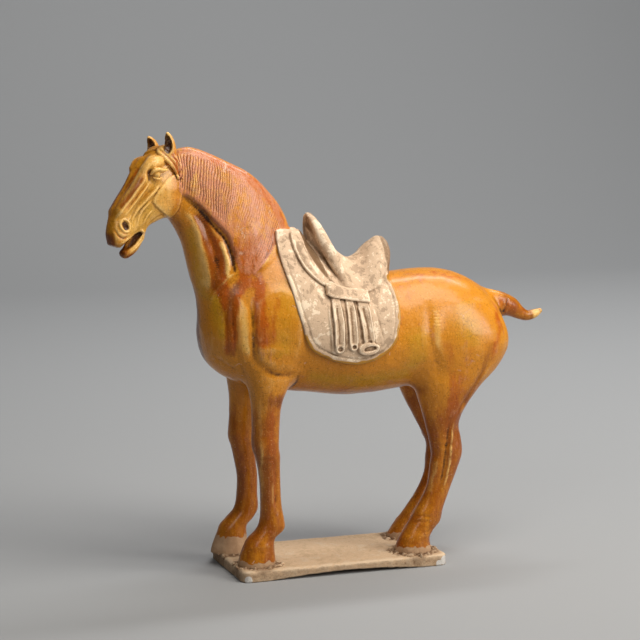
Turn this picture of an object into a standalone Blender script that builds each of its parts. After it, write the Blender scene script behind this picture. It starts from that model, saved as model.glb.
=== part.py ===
"""Glazed pottery horse with a saddle of bare clay, standing on a slab plinth.

Metres, +Z up. The horse faces -X and its left side is towards -Y. The origin is at the
middle of the plinth's underside. The horse is drawn on a grid of design units, with its
hooves at height 0 and its ear tips at height FIGURE_UNITS, so its proportions are shares
of its own height. The plinth, the cloth and the gaps have their own sizes in metres.
"""

import math

import bmesh
import bpy
import numpy as np
from mathutils import Vector

# Driving dimensions, in metres
FIGURE_HEIGHT = 0.590
PLINTH_LENGTH = 0.300
PLINTH_WIDTH = 0.152
PLINTH_THICKNESS = 0.016
PLINTH_ARCH_RISE = 0.006
PLINTH_FOOT = 0.036
PLINTH_CORNER_RADIUS = 0.012
PLINTH_EDGE_ROUNDING = 0.002
CLOTH_THICKNESS = 0.0045
CLOTH_ROOT = 0.010
JOIN_GAP = 0.0003
HOOF_SINK = 0.0005

# The design grid of the figure, and how finely it is worked
FIGURE_UNITS = 590.0
UNIT = FIGURE_HEIGHT / FIGURE_UNITS
WORK_CELL = 3.2
HORSE_TRIANGLES = 6400
SADDLE_TRIANGLES = 3000
RING_STEP = 7.0

# Where the head is hung and how it is turned towards the horse's left
POLL = (-239.0, -6.0)
HEAD_YAW = math.radians(20.0)
LEG_SPREAD_FORE = 42.0
LEG_SPREAD_HIND = 42.0

# Stations of the barrel: x, top, bottom, half width
BARREL = [
    (-186, 330, 306, 14), (-180, 352, 284, 36), (-168, 382, 268, 52), (-148, 412, 254, 64),
    (-118, 438, 242, 72), (-84, 450, 236, 76), (-60, 446, 232, 77), (-36, 430, 229, 77),
    (-12, 410, 226, 78), (15, 394, 223, 78.5), (50, 388, 223, 79), (90, 391, 227, 79),
    (130, 394, 232, 78), (165, 392, 232, 76), (196, 383, 232, 71), (224, 366, 240, 62),
    (244, 344, 256, 48), (257, 318, 276, 26),
]
BARREL_FULLNESS = 0.10
WITHERS_PINCH = 0.30
# Stations of the neck: crest x, crest z, throat x, throat z, half width
NECK = [
    (-40, 395, -172, 300, 56), (-48, 430, -182, 334, 50), (-60, 462, -190, 366, 43),
    (-84, 500, -199, 396, 37), (-113, 526, -205, 420, 32), (-146, 543, -210, 440, 29),
    (-180, 559, -218, 458, 27), (-206, 566, -228, 474, 25), (-226, 566, -238, 488, 22),
]
# The mane hangs on the left side: crest x, crest z, lower edge x, lower edge z
MANE = [
    (-208, 563, -216, 508), (-186, 559, -200, 492), (-160, 550, -182, 474), (-132, 534, -165, 450),
    (-106, 512, -151, 424), (-86, 486, -138, 402), (-74, 462, -116, 408), (-66, 446, -92, 430),
]
MANE_RAISE = 6.0
# Stations of the head, forward from the poll: top f, top z, bottom f, bottom z, half width
HEAD = [
    (2, 569, -26, 528, 20), (18, 563, -22, 510, 25), (29, 550, -14, 492, 28), (38, 535, -6, 480, 27),
    (49, 521, 12, 474, 23), (62, 507, 26, 468, 18), (73, 494, 38, 464, 16.5), (82, 480, 50, 459, 17),
    (86, 462, 62, 450, 16), (84, 446, 72, 441, 11),
]
JAW = [(18, 478, 13, 14), (30, 462, 10, 13), (40, 448, 9, 12), (50, 437, 8.5, 11), (59, 431, 6.5, 10)]
# Forelegs: z, x, half width along x, half width across
FORELEG = [
    (300, -100, 38, 26), (270, -99, 38, 27), (248, -102, 29, 25), (222, -105, 21.5, 20),
    (196, -106, 19.5, 17), (165, -107, 19, 17), (150, -104, 17.5, 16.5), (132, -102, 15.5, 14),
    (105, -100, 14.5, 13), (80, -99, 15, 13.5), (60, -98, 17.5, 15.5), (48, -101, 20, 16.5),
    (37, -113, 19.5, 18), (25, -117, 21.5, 20), (9, -119, 25, 23), (0, -120, 26, 24),
]
# Steps of the far legs along x at each height
FAR_FORE_STEPS = [
    (0, -14), (28, -13), (48, -17), (62, -10), (100, -6), (140, -9), (165, -8), (200, -6), (300, -4),
]
FAR_HIND_STEPS = [
    (0, 20), (26, 27), (54, 31), (100, 30), (138, 26), (153, 21), (194, 10), (240, 3), (300, 0),
]
# Hind legs: z, x, half width along x, half width across
HIND_LEG = [
    (345, 172, 40, 14), (320, 178, 60, 26), (290, 183, 66, 33), (255, 170, 62, 32), (228, 160, 46, 29),
    (200, 154, 32, 22), (178, 153, 24.5, 17.5), (158, 157, 23.5, 17), (136, 160, 22.5, 17),
    (114, 155, 20.5, 15), (92, 149, 18, 13.5), (72, 141, 18.5, 14), (56, 133, 20.5, 16),
    (42, 127, 23, 17), (31, 119, 22, 18), (20, 112, 22, 20), (6, 110, 25.5, 23), (0, 110, 26.5, 24),
]
# Tail: x, z, radius. Ears, brows, eyes and forelock: forward from the poll, to the left, up
TAIL = [
    (212, 352, 14), (240, 345, 15), (258, 338, 17), (274, 333, 14), (288, 324, 9.5),
    (300, 319, 7.5), (312, 321, 6.5), (321, 325, 4),
]
EAR_FOOT = (-1.0, 19.0, 562.0)
EAR_TIPS = {1: (5.0, 21.0, 590.0), -1: (6.0, 20.0, 585.0)}
EAR_WIDTH = 9.0
BROW = [(15, 17, 556, 5), (26, 20, 552, 6), (36, 18, 543, 5)]
EYE = (26, 23, 537)
EYE_RADIUS = 6.5
FORELOCK = [(5, 3, 566, 5), (9, 14, 562, 5), (3, 23, 553, 4.5), (-4, 26, 543, 3.5), (-10, 27, 532, 2)]
# The saddle, seen from the left: outline of the cloth, and the line of the seat
CLOTH_OUTLINE = [
    (-81, 470), (-87, 428), (-84, 406), (-78, 379), (-73, 355), (-66, 331), (-60, 310), (-50, 296),
    (-34, 288), (-20, 281), (2, 276), (16, 275), (38, 280), (56, 291), (68, 304), (73, 317),
    (79, 345), (79, 372), (74, 402), (70, 470),
]
PANEL_OUTLINE = [
    (-70, 470), (-66, 430), (-60, 412), (-46, 397), (-28, 382), (-8, 372), (20, 366), (38, 368),
    (56, 378), (70, 396), (80, 416), (76, 470),
]
PANEL_RAISE = 5.0
# The tree of the saddle: x of the ridge, its height, half width of the foot, backward lean
TREE = [
    (-56, 440, 30, 30), (-50, 456, 38, 34), (-42, 468, 46, 37), (-33, 474, 50, 38), (-24, 471, 52, 36),
    (-12, 452, 52, 30), (0, 434, 51, 22), (14, 420, 50, 12), (28, 414, 50, 4), (42, 420, 50, -4),
    (54, 432, 50, -10), (66, 440, 49, -14), (76, 441, 46, -16), (84, 434, 40, -16), (88, 424, 32, -14),
]
TREE_FLOOR = 380.0
ARM_RADII = (7.5, 4.0)
SADDLE_CELL = 2.2
STRAP_WIDTH = 8.0
STRAP_RAISE = 3.0
STRAP_TOPS = [-16.0, 1.0, 14.0, 31.0]
STRAP_LEAN = 7.0
STRAP_TOP_Z = 372.0
STRAP_FOOT_Z = 296.0
BELT_Z = 372.0
BELT_HALF = 7.5
BELT_ENDS = (-24.0, 36.0)

GLAZE = (0.50, 0.19, 0.035)
BARE_CLAY = (0.66, 0.49, 0.35)
SLAB_CLAY = (0.58, 0.43, 0.31)


def clear_scene():
    """Remove what the file holds at the start."""
    for obj in list(bpy.data.objects):
        bpy.data.objects.remove(obj)


def clay(name, colour, roughness):
    """A Principled material of one colour."""
    material = bpy.data.materials.new(name)
    material.use_nodes = True
    shader = material.node_tree.nodes["Principled BSDF"]
    shader.inputs["Base Color"].default_value = (*colour, 1.0)
    shader.inputs["Roughness"].default_value = roughness
    shader.inputs["Metallic"].default_value = 0.0
    return material


def place(units):
    """A point of the design grid in metres, above the plinth."""
    return np.asarray(units, float) * UNIT + np.array([0.0, 0.0, PLINTH_THICKNESS - HOOF_SINK])


def smooth_path(stations, step=RING_STEP):
    """Catmull-Rom curve through rows of numbers whose first three are a point, at even steps."""
    rows = np.asarray(stations, float)
    padded = np.vstack([2 * rows[0] - rows[1], rows, 2 * rows[-1] - rows[-2]])
    out = [rows[:1]]
    for i in range(1, len(rows)):
        a, b, c, d = padded[i - 1], padded[i], padded[i + 1], padded[i + 2]
        count = max(1, round(float(np.linalg.norm(c[:3] - b[:3])) / step))
        t = (np.arange(1, count + 1) / count)[:, None]
        out.append(0.5 * (2 * b + (c - a) * t + (2 * a - 5 * b + 4 * c - d) * t**2
                          + (3 * b - a - 3 * c + d) * t**3))
    return np.vstack(out)


def mesh_object(name, points, faces, material=None):
    """Put points and faces into a new object with its faces turned outwards."""
    mesh = bpy.data.meshes.new(name)
    mesh.from_pydata([tuple(p) for p in points], [], faces)
    bm = bmesh.new()
    bm.from_mesh(mesh)
    bmesh.ops.recalc_face_normals(bm, faces=bm.faces)
    bm.to_mesh(mesh)
    bm.free()
    obj = bpy.data.objects.new(name, mesh)
    bpy.context.collection.objects.link(obj)
    if material is not None:
        mesh.materials.append(material)
    return obj


def loft(name, rings):
    """Close a row of equal rings of points into a solid with a domed point at each end."""
    rings = [np.asarray(ring, float) for ring in rings]
    sides = len(rings[0])
    points = [rings[0].mean(axis=0)]
    for ring in rings:
        points.extend(ring)
    points.append(rings[-1].mean(axis=0))
    faces = []
    for k in range(sides):
        n = (k + 1) % sides
        faces.append((0, 1 + n, 1 + k))
        for r in range(len(rings) - 1):
            a = 1 + r * sides
            faces.append((a + k, a + n, a + sides + n, a + sides + k))
        last = 1 + (len(rings) - 1) * sides
        faces.append((last + k, last + n, len(points) - 1))
    return mesh_object(name, points, faces)


def ellipse_rings(centres, first, second, first_axis, second_axis, sides=20, dome=True):
    """Rings of ellipses with given half widths along two axes at each centre, with domed ends."""
    turn = np.linspace(0, 2 * math.pi, sides, endpoint=False)
    rows = []
    for c, a, b, u, v in zip(centres, first, second, first_axis, second_axis):
        rows.append((c, a, b, u, v))
    if dome:
        rows = [domed(rows[1], rows[0])] + rows + [domed(rows[-2], rows[-1])]
    return [c + np.outer(np.cos(turn) * a, u) + np.outer(np.sin(turn) * b, v) for c, a, b, u, v in rows]


def domed(inner, outer):
    """A smaller end ring just past the outer one, which rounds the end of a loft."""
    along = outer[0] - inner[0]
    reach = 0.35 * min(outer[1], outer[2])
    shifted = outer[0] + along / np.linalg.norm(along) * reach
    return (shifted, outer[1] * 0.6, outer[2] * 0.6, outer[3], outer[4])


def path_axes(centres, side):
    """Unit axes across each centre: one nearest to the side vector, one square to it."""
    tangent = np.gradient(centres, axis=0)
    tangent /= np.linalg.norm(tangent, axis=1)[:, None]
    side = np.asarray(side, float)
    across = side - (tangent @ side)[:, None] * tangent
    across /= np.linalg.norm(across, axis=1)[:, None]
    return across, np.cross(tangent, across)


def barrel_section(x):
    """Middle height, half height and half width of the barrel at x, in design units."""
    rows = np.array(BARREL, float)
    top, bottom, width = (float(np.interp(x, rows[:, 0], rows[:, k])) for k in (1, 2, 3))
    return (top + bottom) / 2, (top - bottom) / 2, width


def fullness(x, level):
    """Share of the width kept at a level from -1, the belly, to 1, the back or withers."""
    ahead = np.clip((30.0 - x) / 80.0, 0.0, 1.0)
    pinch = WITHERS_PINCH * ahead * ahead * (3 - 2 * ahead)
    return 1.0 - BARREL_FULLNESS * level - pinch * np.maximum(level, 0.0) ** 2


def barrel():
    """The trunk from breast to buttock, of upright egg-shaped sections, fuller below."""
    path = smooth_path([(x, 0, (t + b) / 2, (t - b) / 2, w) for x, t, b, w in BARREL])
    turn = np.linspace(0, 2 * math.pi, 28, endpoint=False)
    rings = []
    for x, _, z, half, width in path:
        y = width * np.sin(turn) * fullness(x, np.cos(turn))
        rings.append(place(np.stack([np.full(28, x), y, z + half * np.cos(turn)], axis=1)))
    return loft("barrel", rings)


def neck():
    """The arched neck, each section spanning from the throat to the crest."""
    path = smooth_path([(cx, cz, tx, tz, w) for cx, cz, tx, tz, w in NECK], step=9.0)
    turn = np.linspace(0, 2 * math.pi, 24, endpoint=False)
    rings = []
    for cx, cz, tx, tz, width in path:
        share = 0.5 - 0.5 * np.cos(turn)
        thick = width * np.sin(turn) * (0.72 + 0.56 * (1 - share))
        x = tx + (cx - tx) * share
        z = tz + (cz - tz) * share
        rings.append(place(np.stack([x, thick, z], axis=1)))
    return loft("neck", rings)


def mane():
    """The combed mane, a raised layer on the left side of the neck from crest to lower edge."""
    path = smooth_path([(cx, 0, cz, lx, lz) for cx, cz, lx, lz in MANE], step=9.0)
    rings = []
    for cx, _, cz, lx, lz in path:
        down = np.linspace(0.0, 1.0, 7)
        x = cx + (lx - cx) * down
        z = cz + (lz - cz) * down
        skin = np.array([neck_half_width(px, pz) for px, pz in zip(x, z)])
        bulge = MANE_RAISE * np.sqrt(np.clip(1 - (2 * down - 1) ** 4, 0, 1))
        outer = place(np.stack([x, -(skin + bulge), z + 2.5 * (1 - down)], axis=1))
        inner = place(np.stack([x, -(skin * 0.3), z], axis=1))
        rings.append(np.vstack([outer, inner[::-1]]))
    return loft("mane", rings)


def neck_half_width(x, z):
    """Half width of the neck where the point (x, z) of the side view lies."""
    path = np.array(NECK, float)
    crest = path[:, [0, 1]]
    throat = path[:, [2, 3]]
    point = np.array([x, z])
    span = throat - crest
    share = np.clip(((point - crest) * span).sum(axis=1) / (span**2).sum(axis=1), 0, 1)
    miss = np.linalg.norm(crest + span * share[:, None] - point, axis=1)
    weight = 1.0 / (miss + 2.0) ** 3
    share = float((share * weight).sum() / weight.sum())
    width = float((path[:, 4] * weight).sum() / weight.sum())
    turn = math.acos(1 - 2 * (1 - share)) if 0 < share < 1 else (math.pi if share <= 0 else 0.0)
    return width * math.sin(turn) * (0.72 + 0.56 * share)


def head_point(forward, side, height):
    """A point given forward from the poll, to the left and up, in design units."""
    ahead = (-math.cos(HEAD_YAW), -math.sin(HEAD_YAW))
    left = (math.sin(HEAD_YAW), -math.cos(HEAD_YAW))
    x = POLL[0] + ahead[0] * forward + left[0] * side
    y = POLL[1] + ahead[1] * forward + left[1] * side
    return np.array([x, y, height])


def head():
    """Skull and upper jaw, of rounded boxy sections square to the line of the face."""
    path = smooth_path([(tf, tz, bf, bz, w) for tf, tz, bf, bz, w in HEAD], step=7.0)
    turn = np.linspace(0, 2 * math.pi, 20, endpoint=False)
    rings = []
    for tf, tz, bf, bz, width in path:
        across = np.sign(np.sin(turn)) * np.abs(np.sin(turn)) ** 0.8 * width
        share = 0.5 + 0.5 * np.sign(np.cos(turn)) * np.abs(np.cos(turn)) ** 0.8
        across = across * (0.86 + 0.18 * (1 - share))
        ring = [place(head_point(bf + (tf - bf) * s, a, bz + (tz - bz) * s)) for s, a in zip(share, across)]
        rings.append(ring)
    return loft("head", rings)


def lower_jaw():
    """The lower jaw, parted from the upper one by the open mouth."""
    path = smooth_path([(f, 0, z, deep, wide) for f, z, deep, wide in JAW], step=6.0)
    centres = np.array([place(head_point(f, 0, z)) for f, _, z, _, _ in path])
    across, upright = path_axes(centres, head_left())
    return loft("jaw", ellipse_rings(centres, path[:, 4] * UNIT, path[:, 3] * UNIT, across, upright, 16))


def ear(side):
    """A pricked ear, a flattened cone from its foot to its tip."""
    foot = place(head_point(EAR_FOOT[0], EAR_FOOT[1] * side, EAR_FOOT[2]))
    ahead, out, up = EAR_TIPS[side]
    tip = place(head_point(ahead, out * side, up))
    shares = np.linspace(0, 1, 6)
    centres = foot + np.outer(shares, tip - foot)
    size = np.sqrt(1 - shares**2 * 0.93)
    across, upright = path_axes(centres, head_left())
    wide = EAR_WIDTH * UNIT * size
    return loft("ear", ellipse_rings(centres, wide * 0.8, wide, across, upright, 12, dome=False))


def head_left():
    """The direction to the left of the turned head."""
    return head_point(0, 1, 0) - head_point(0, 0, 0)


def head_cord(name, rows, side):
    """A round tapering roll laid on the head along rows of forward, left, up and radius."""
    centres = np.array([place(head_point(f, s * side, z)) for f, s, z, _ in rows])
    radius = np.array([r for *_, r in rows]) * UNIT
    across, upright = path_axes(centres, head_left())
    return loft(name, ellipse_rings(centres, radius, radius, across, upright, 12))


def eye(side):
    """The bulging eyeball."""
    mesh = bpy.data.meshes.new("eye")
    bm = bmesh.new()
    bmesh.ops.create_icosphere(bm, subdivisions=2, radius=EYE_RADIUS * UNIT)
    centre = place(head_point(EYE[0], EYE[1] * side, EYE[2]))
    bmesh.ops.translate(bm, verts=bm.verts, vec=Vector(centre))
    bm.to_mesh(mesh)
    bm.free()
    obj = bpy.data.objects.new("eye", mesh)
    bpy.context.collection.objects.link(obj)
    return obj


def leg(name, stations, side, spread, far_steps):
    """A leg of upright stations, standing to one side of the middle; a far leg is stepped along x."""
    heights, steps = np.array(far_steps, float).T
    rows = []
    for z, x, long, wide in stations:
        step = float(np.interp(z, heights, steps)) if side > 0 else 0.0
        rows.append((x + step, side * spread, z, long, wide))
    path = smooth_path(rows)
    centres = np.array([place(row[:3]) for row in path])
    ahead = np.tile([1.0, 0.0, 0.0], (len(path), 1))
    across = np.tile([0.0, 1.0, 0.0], (len(path), 1))
    rings = ellipse_rings(centres, path[:, 3] * UNIT, path[:, 4] * UNIT, ahead, across, 18, dome=False)
    return loft(name, rings)


def tail():
    """The docked tail, bound in the middle and turned up at its tip."""
    path = smooth_path([(x, 0, z, r) for x, z, r in TAIL], step=6.0)
    centres = np.array([place(row[:3]) for row in path])
    across, upright = path_axes(centres, (0, 1, 0))
    radius = path[:, 3] * UNIT
    return loft("tail", ellipse_rings(centres, radius * 0.85, radius, across, upright, 14))


def join(name, parts, material):
    """Put the meshes of several parts into one object."""
    bm = bmesh.new()
    for part in parts:
        bm.from_mesh(part.data)
        bpy.data.objects.remove(part)
    mesh = bpy.data.meshes.new(name)
    bm.to_mesh(mesh)
    bm.free()
    mesh.materials.append(material)
    obj = bpy.data.objects.new(name, mesh)
    bpy.context.collection.objects.link(obj)
    return obj


def work_surface(obj, cell, triangles, passes):
    """Fuse the overlapping parts into one skin, smooth it and thin it to a number of triangles."""
    fuse = obj.modifiers.new("fuse", "REMESH")
    fuse.mode = "VOXEL"
    fuse.voxel_size = cell * UNIT
    ease = obj.modifiers.new("ease", "SMOOTH")
    ease.factor = 0.5
    ease.iterations = passes
    bake(obj)
    obj.data.calc_loop_triangles()
    thin = obj.modifiers.new("thin", "DECIMATE")
    thin.ratio = min(1.0, triangles / len(obj.data.loop_triangles))
    thin.use_collapse_triangulate = True
    bake(obj)


def bake(obj):
    """Replace an object's mesh by what its modifiers make of it."""
    bpy.context.view_layer.update()
    evaluated = obj.evaluated_get(bpy.context.evaluated_depsgraph_get())
    mesh = bpy.data.meshes.new_from_object(evaluated)
    obj.modifiers.clear()
    obj.data = mesh


def horse(material):
    """The whole glazed figure as one body, with flat soles."""
    parts = [barrel(), neck(), mane(), head(), lower_jaw(), tail()]
    for side in (-1, 1):
        parts.append(ear(side))
        parts.append(eye(side))
        parts.append(head_cord("brow", BROW, side))
        parts.append(head_cord("forelock", FORELOCK, side))
        parts.append(leg("foreleg", FORELEG, side, LEG_SPREAD_FORE, FAR_FORE_STEPS))
        parts.append(leg("hind_leg", HIND_LEG, side, LEG_SPREAD_HIND, FAR_HIND_STEPS))
    body = join("horse", parts, material)
    work_surface(body, WORK_CELL, HORSE_TRIANGLES, 3)
    level_soles(body)
    return body


def level_soles(body):
    """Cut the soles flat just above the plinth."""
    bm = bmesh.new()
    bm.from_mesh(body.data)
    height = PLINTH_THICKNESS + JOIN_GAP
    geometry = bm.verts[:] + bm.edges[:] + bm.faces[:]
    bmesh.ops.bisect_plane(bm, geom=geometry, plane_co=(0, 0, height), plane_no=(0, 0, -1), clear_outer=True)
    rim = [edge for edge in bm.edges if edge.is_boundary]
    filled = bmesh.ops.holes_fill(bm, edges=rim, sides=0)
    bmesh.ops.triangulate(bm, faces=filled["faces"])
    bmesh.ops.recalc_face_normals(bm, faces=bm.faces)
    bm.to_mesh(body.data)
    bm.free()


def draped_pad(name, outline, raise_by):
    """A pad that follows the barrel on both sides, cut to an outline of the side view."""
    rim = np.array(outline, float)
    xs = np.linspace(rim[:, 0].min(), rim[:, 0].max(), 30)
    low = np.array([lower_edge(rim, x) for x in xs])
    around = 15
    rings = []
    for x, bottom in zip(xs, low):
        outer = barrel_arc(x, bottom, raise_by, around)
        inner = barrel_arc(x, bottom, -CLOTH_ROOT / UNIT, around)
        rings.append(np.vstack([place(outer), place(inner[::-1])]))
    return loft(name, rings)


def lower_edge(rim, x):
    """Height of the lower edge of an outline at x."""
    heights = []
    for (ax, az), (bx, bz) in zip(rim[:-1], rim[1:]):
        if min(ax, bx) <= x <= max(ax, bx) and ax != bx:
            heights.append(az + (bz - az) * (x - ax) / (bx - ax))
    return min(heights)


def barrel_arc(x, bottom, raise_by, count):
    """Points over the barrel at x, raised from its skin, from one lower edge to the other."""
    middle, half, width = barrel_section(x)
    level = max(-0.95, min(0.97, (bottom - middle) / half))
    reach = math.acos(level)
    turn = np.linspace(-reach, reach, count)
    y = (width + raise_by) * np.sin(turn) * fullness(x, np.cos(turn))
    z = middle + (half + raise_by) * np.cos(turn)
    return np.stack([np.full(count, x), y, z], axis=1)


def arch_line(x, ridge, foot, lean, count=17):
    """The arch of the saddle tree at a station: from one foot over the ridge to the other."""
    out = np.linspace(-1.0, 1.0, count)
    rise = (1.0 - np.abs(out) ** 1.7) ** 0.85
    back = lean * (1.0 - rise)
    return np.stack([x + back, foot * out, TREE_FLOOR + (ridge - TREE_FLOOR) * rise], axis=1)


def tree():
    """The saddle tree: pommel, dipped seat and cantle, arched over the back."""
    path = smooth_path([(x, 0, z, w, lean) for x, z, w, lean in TREE], step=4.0)
    rings = []
    for x, _, ridge, foot, lean in path:
        arch = arch_line(x, ridge, foot, lean)
        base = arch[::-1].copy()
        base[:, 2] = np.minimum(TREE_FLOOR, base[:, 2]) - 14.0
        rings.append(place(np.vstack([arch, base])))
    return loft("tree", rings)


def pommel_arm(side):
    """The pommel's rounded edge, which sweeps back down the panel."""
    line = arch_line(*max(TREE, key=lambda row: row[1]))
    middle = len(line) // 2
    line = line[middle:] if side > 0 else line[middle::-1]
    centres = np.array([place(p) for p in line])
    radius = np.linspace(*ARM_RADII, len(line)) * UNIT
    across, upright = path_axes(centres, (1, 0, 0))
    return loft("pommel_arm", ellipse_rings(centres, radius, radius, across, upright, 10))


def strap(side, x_top, x_foot, z_top, z_foot, half):
    """A flat strap that lies on the cloth between two points of the side view."""
    count = 8
    rings = []
    for share in np.linspace(0, 1, count):
        x = x_top + (x_foot - x_top) * share
        z = z_top + (z_foot - z_top) * share
        row = []
        for offset, lift in ((-half, 0), (-half, 1), (half, 1), (half, 0)):
            skin = barrel_side(x + offset, z)
            rise = CLOTH_THICKNESS / UNIT + STRAP_RAISE if lift else -2.0
            row.append(place((x + offset, side * (skin + rise), z)))
        rings.append(row)
    return loft("strap", rings)


def belt(side):
    """The girth belt across the straps' tops."""
    rings = []
    for x in np.linspace(*BELT_ENDS, 8):
        row = []
        for rise_z, lift in ((-1, 0), (-1, 1), (1, 1), (1, 0)):
            z = BELT_Z + rise_z * BELT_HALF
            skin = barrel_side(x, z)
            rise = CLOTH_THICKNESS / UNIT + STRAP_RAISE + 1.5 if lift else -2.0
            row.append(place((x, side * (skin + rise), z)))
        rings.append(row)
    return loft("belt", rings)


def barrel_side(x, z):
    """Distance of the barrel's skin from the middle plane at a point of the side view."""
    middle, half, width = barrel_section(x)
    level = max(-0.98, min(0.98, (z - middle) / half))
    return width * math.sqrt(1 - level**2) * float(fullness(x, level))


def saddle(material, body):
    """Saddle, cloth and straps as one body of bare clay, hollowed to sit on the horse."""
    parts = [draped_pad("cloth", CLOTH_OUTLINE, CLOTH_THICKNESS / UNIT)]
    parts.append(draped_pad("panel", PANEL_OUTLINE, CLOTH_THICKNESS / UNIT + PANEL_RAISE))
    parts.append(tree())
    for side in (-1, 1):
        parts.append(pommel_arm(side))
        parts.append(belt(side))
        for x in STRAP_TOPS:
            foot = x + STRAP_LEAN
            parts.append(strap(side, x, foot, STRAP_TOP_Z, STRAP_FOOT_Z, STRAP_WIDTH / 2))
    obj = join("saddle", parts, material)
    work_surface(obj, SADDLE_CELL, SADDLE_TRIANGLES, 2)
    cutter = grown_copy(body)
    cut = obj.modifiers.new("seat_on_back", "BOOLEAN")
    cut.operation = "DIFFERENCE"
    cut.object = cutter
    bake(obj)
    keep_largest(obj)
    return obj


def grown_copy(body):
    """A copy of the horse grown by the gap, which hollows the saddle."""
    mesh = body.data.copy()
    cutter = bpy.data.objects.new("back_cutter", mesh)
    bpy.context.collection.objects.link(cutter)
    grow = cutter.modifiers.new("grow", "DISPLACE")
    grow.mid_level = 0.0
    grow.strength = JOIN_GAP * 1.3
    cutter.hide_render = True
    cutter.display_type = "WIRE"
    return cutter


def keep_largest(obj):
    """Keep the largest of the bodies in a mesh, which drops crumbs left by a cut."""
    bm = bmesh.new()
    bm.from_mesh(obj.data)
    bmesh.ops.remove_doubles(bm, verts=bm.verts, dist=0.00002)
    unseen = set(bm.verts)
    groups = []
    while unseen:
        group = []
        stack = [unseen.pop()]
        while stack:
            vert = stack.pop()
            group.append(vert)
            for edge in vert.link_edges:
                other = edge.other_vert(vert)
                if other in unseen:
                    unseen.remove(other)
                    stack.append(other)
        groups.append(group)
    groups.sort(key=len, reverse=True)
    for group in groups[1:]:
        bmesh.ops.delete(bm, geom=group, context="VERTS")
    bm.to_mesh(obj.data)
    bm.free()


def plinth(material):
    """The slab: rounded corners, a flat foot at each short end and a low arch between them."""
    across = PLINTH_LENGTH / 2
    deep = PLINTH_WIDTH / 2
    r = PLINTH_CORNER_RADIUS
    corner = np.linspace(0, math.pi / 2, 5)
    outline = []
    for sx, sy, start in ((1, 1, 0), (-1, 1, 1), (-1, -1, 2), (1, -1, 3)):
        angle = corner + start * math.pi / 2
        centre = np.array([sx * (across - r), sy * (deep - r)])
        outline.append(centre + r * np.stack([np.cos(angle), np.sin(angle)], axis=1))
    corners = np.vstack(outline)
    span = across - PLINTH_FOOT
    inner = np.linspace(span, -span, 13)
    rim = insert_crossings(corners, inner)
    low = [Vector((x, y, arch_height(x, span))) for x, y in rim]
    top = [Vector((x, y, PLINTH_THICKNESS)) for x, y in rim]
    bm = bmesh.new()
    low_verts = [bm.verts.new(p) for p in low]
    top_verts = [bm.verts.new(p) for p in top]
    top_face = bm.faces.new(top_verts)
    count = len(rim)
    for k in range(count):
        n = (k + 1) % count
        bm.faces.new((low_verts[k], low_verts[n], top_verts[n], top_verts[k]))
    underside_faces(bm, rim, low_verts, inner)
    bmesh.ops.recalc_face_normals(bm, faces=bm.faces)
    mesh = bpy.data.meshes.new("plinth")
    if PLINTH_EDGE_ROUNDING > 0:
        edges = list(top_face.edges)
        bmesh.ops.bevel(bm, geom=edges, offset=PLINTH_EDGE_ROUNDING, segments=2, affect="EDGES", profile=0.5)
    bmesh.ops.triangulate(bm, faces=bm.faces)
    bm.to_mesh(mesh)
    bm.free()
    mesh.materials.append(material)
    obj = bpy.data.objects.new("plinth", mesh)
    bpy.context.collection.objects.link(obj)
    return obj


def arch_height(x, span):
    """Height of the underside at x: zero under the feet, a low arch between them."""
    if abs(x) >= span:
        return 0.0
    return PLINTH_ARCH_RISE * math.cos(math.pi / 2 * x / span)


def insert_crossings(corners, inner):
    """Add to the outline a point on each long side at every x of the arch."""
    deep = corners[:, 1].max()
    back = [(x, deep) for x in inner]
    front = [(x, -deep) for x in inner[::-1]]
    quarter = len(corners) // 4
    right, left = corners[:quarter], corners[quarter:3 * quarter]
    rows = list(right) + back + list(left) + front + list(corners[3 * quarter:])
    return [(float(x), float(y)) for x, y in rows]


def underside_faces(bm, rim, low, inner):
    """Close the underside with strips across the arch and one flat foot at each end."""
    quarter = (len(rim) - 2 * len(inner)) // 4
    n = len(inner)
    back = list(range(quarter, quarter + n))
    front = list(range(3 * quarter + n, 3 * quarter + 2 * n))[::-1]
    for k in range(n - 1):
        bm.faces.new((low[back[k]], low[back[k + 1]], low[front[k + 1]], low[front[k]]))
    left_end = list(range(back[-1], front[-1] + 1))
    bm.faces.new([low[i] for i in left_end])
    right_end = list(range(front[0], len(rim))) + list(range(0, back[0] + 1))
    bm.faces.new([low[i] for i in right_end])


def centre_on_origin(objects):
    """Shift the pieces sideways so that the middle of their common box is over the origin."""
    low = np.full(3, np.inf)
    high = np.full(3, -np.inf)
    for obj in objects:
        points = np.array([tuple(v.co) for v in obj.data.vertices])
        low = np.minimum(low, points.min(axis=0))
        high = np.maximum(high, points.max(axis=0))
    root = bpy.data.objects.new("figure_root", None)
    bpy.context.collection.objects.link(root)
    root.location = (-(low[0] + high[0]) / 2, -(low[1] + high[1]) / 2, -low[2])
    for obj in objects:
        obj.parent = root


def main():
    """Build the plinth, the horse and the saddle."""
    clear_scene()
    slab = plinth(clay("plinth_clay", SLAB_CLAY, 0.85))
    body = horse(clay("amber_glaze", GLAZE, 0.22))
    tack = saddle(clay("saddle_clay", BARE_CLAY, 0.85), body)
    for obj in (body, tack):
        obj.data.shade_smooth()
    slab.data.shade_smooth()
    slab.data.set_sharp_from_angle(angle=math.radians(40))
    centre_on_origin([slab, body, tack])


main()
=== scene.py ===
"""Looks of the glazed pottery horse: the figure, its bare clay saddle and its slab plinth.

Each piece is worked as clay is: forms are added to a field of signed distances, blended
where they meet, cut, and turned into a skin, on which the fine carving is pressed. Sizes
are written on a design grid, in which the hooves stand at height 0 and one unit is a
millimetre of a figure 589 units tall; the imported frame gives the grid's real scale.
"""

from __future__ import annotations

import logging
import math
from collections.abc import Sequence
from dataclasses import dataclass, field, replace
from enum import Enum

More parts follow.
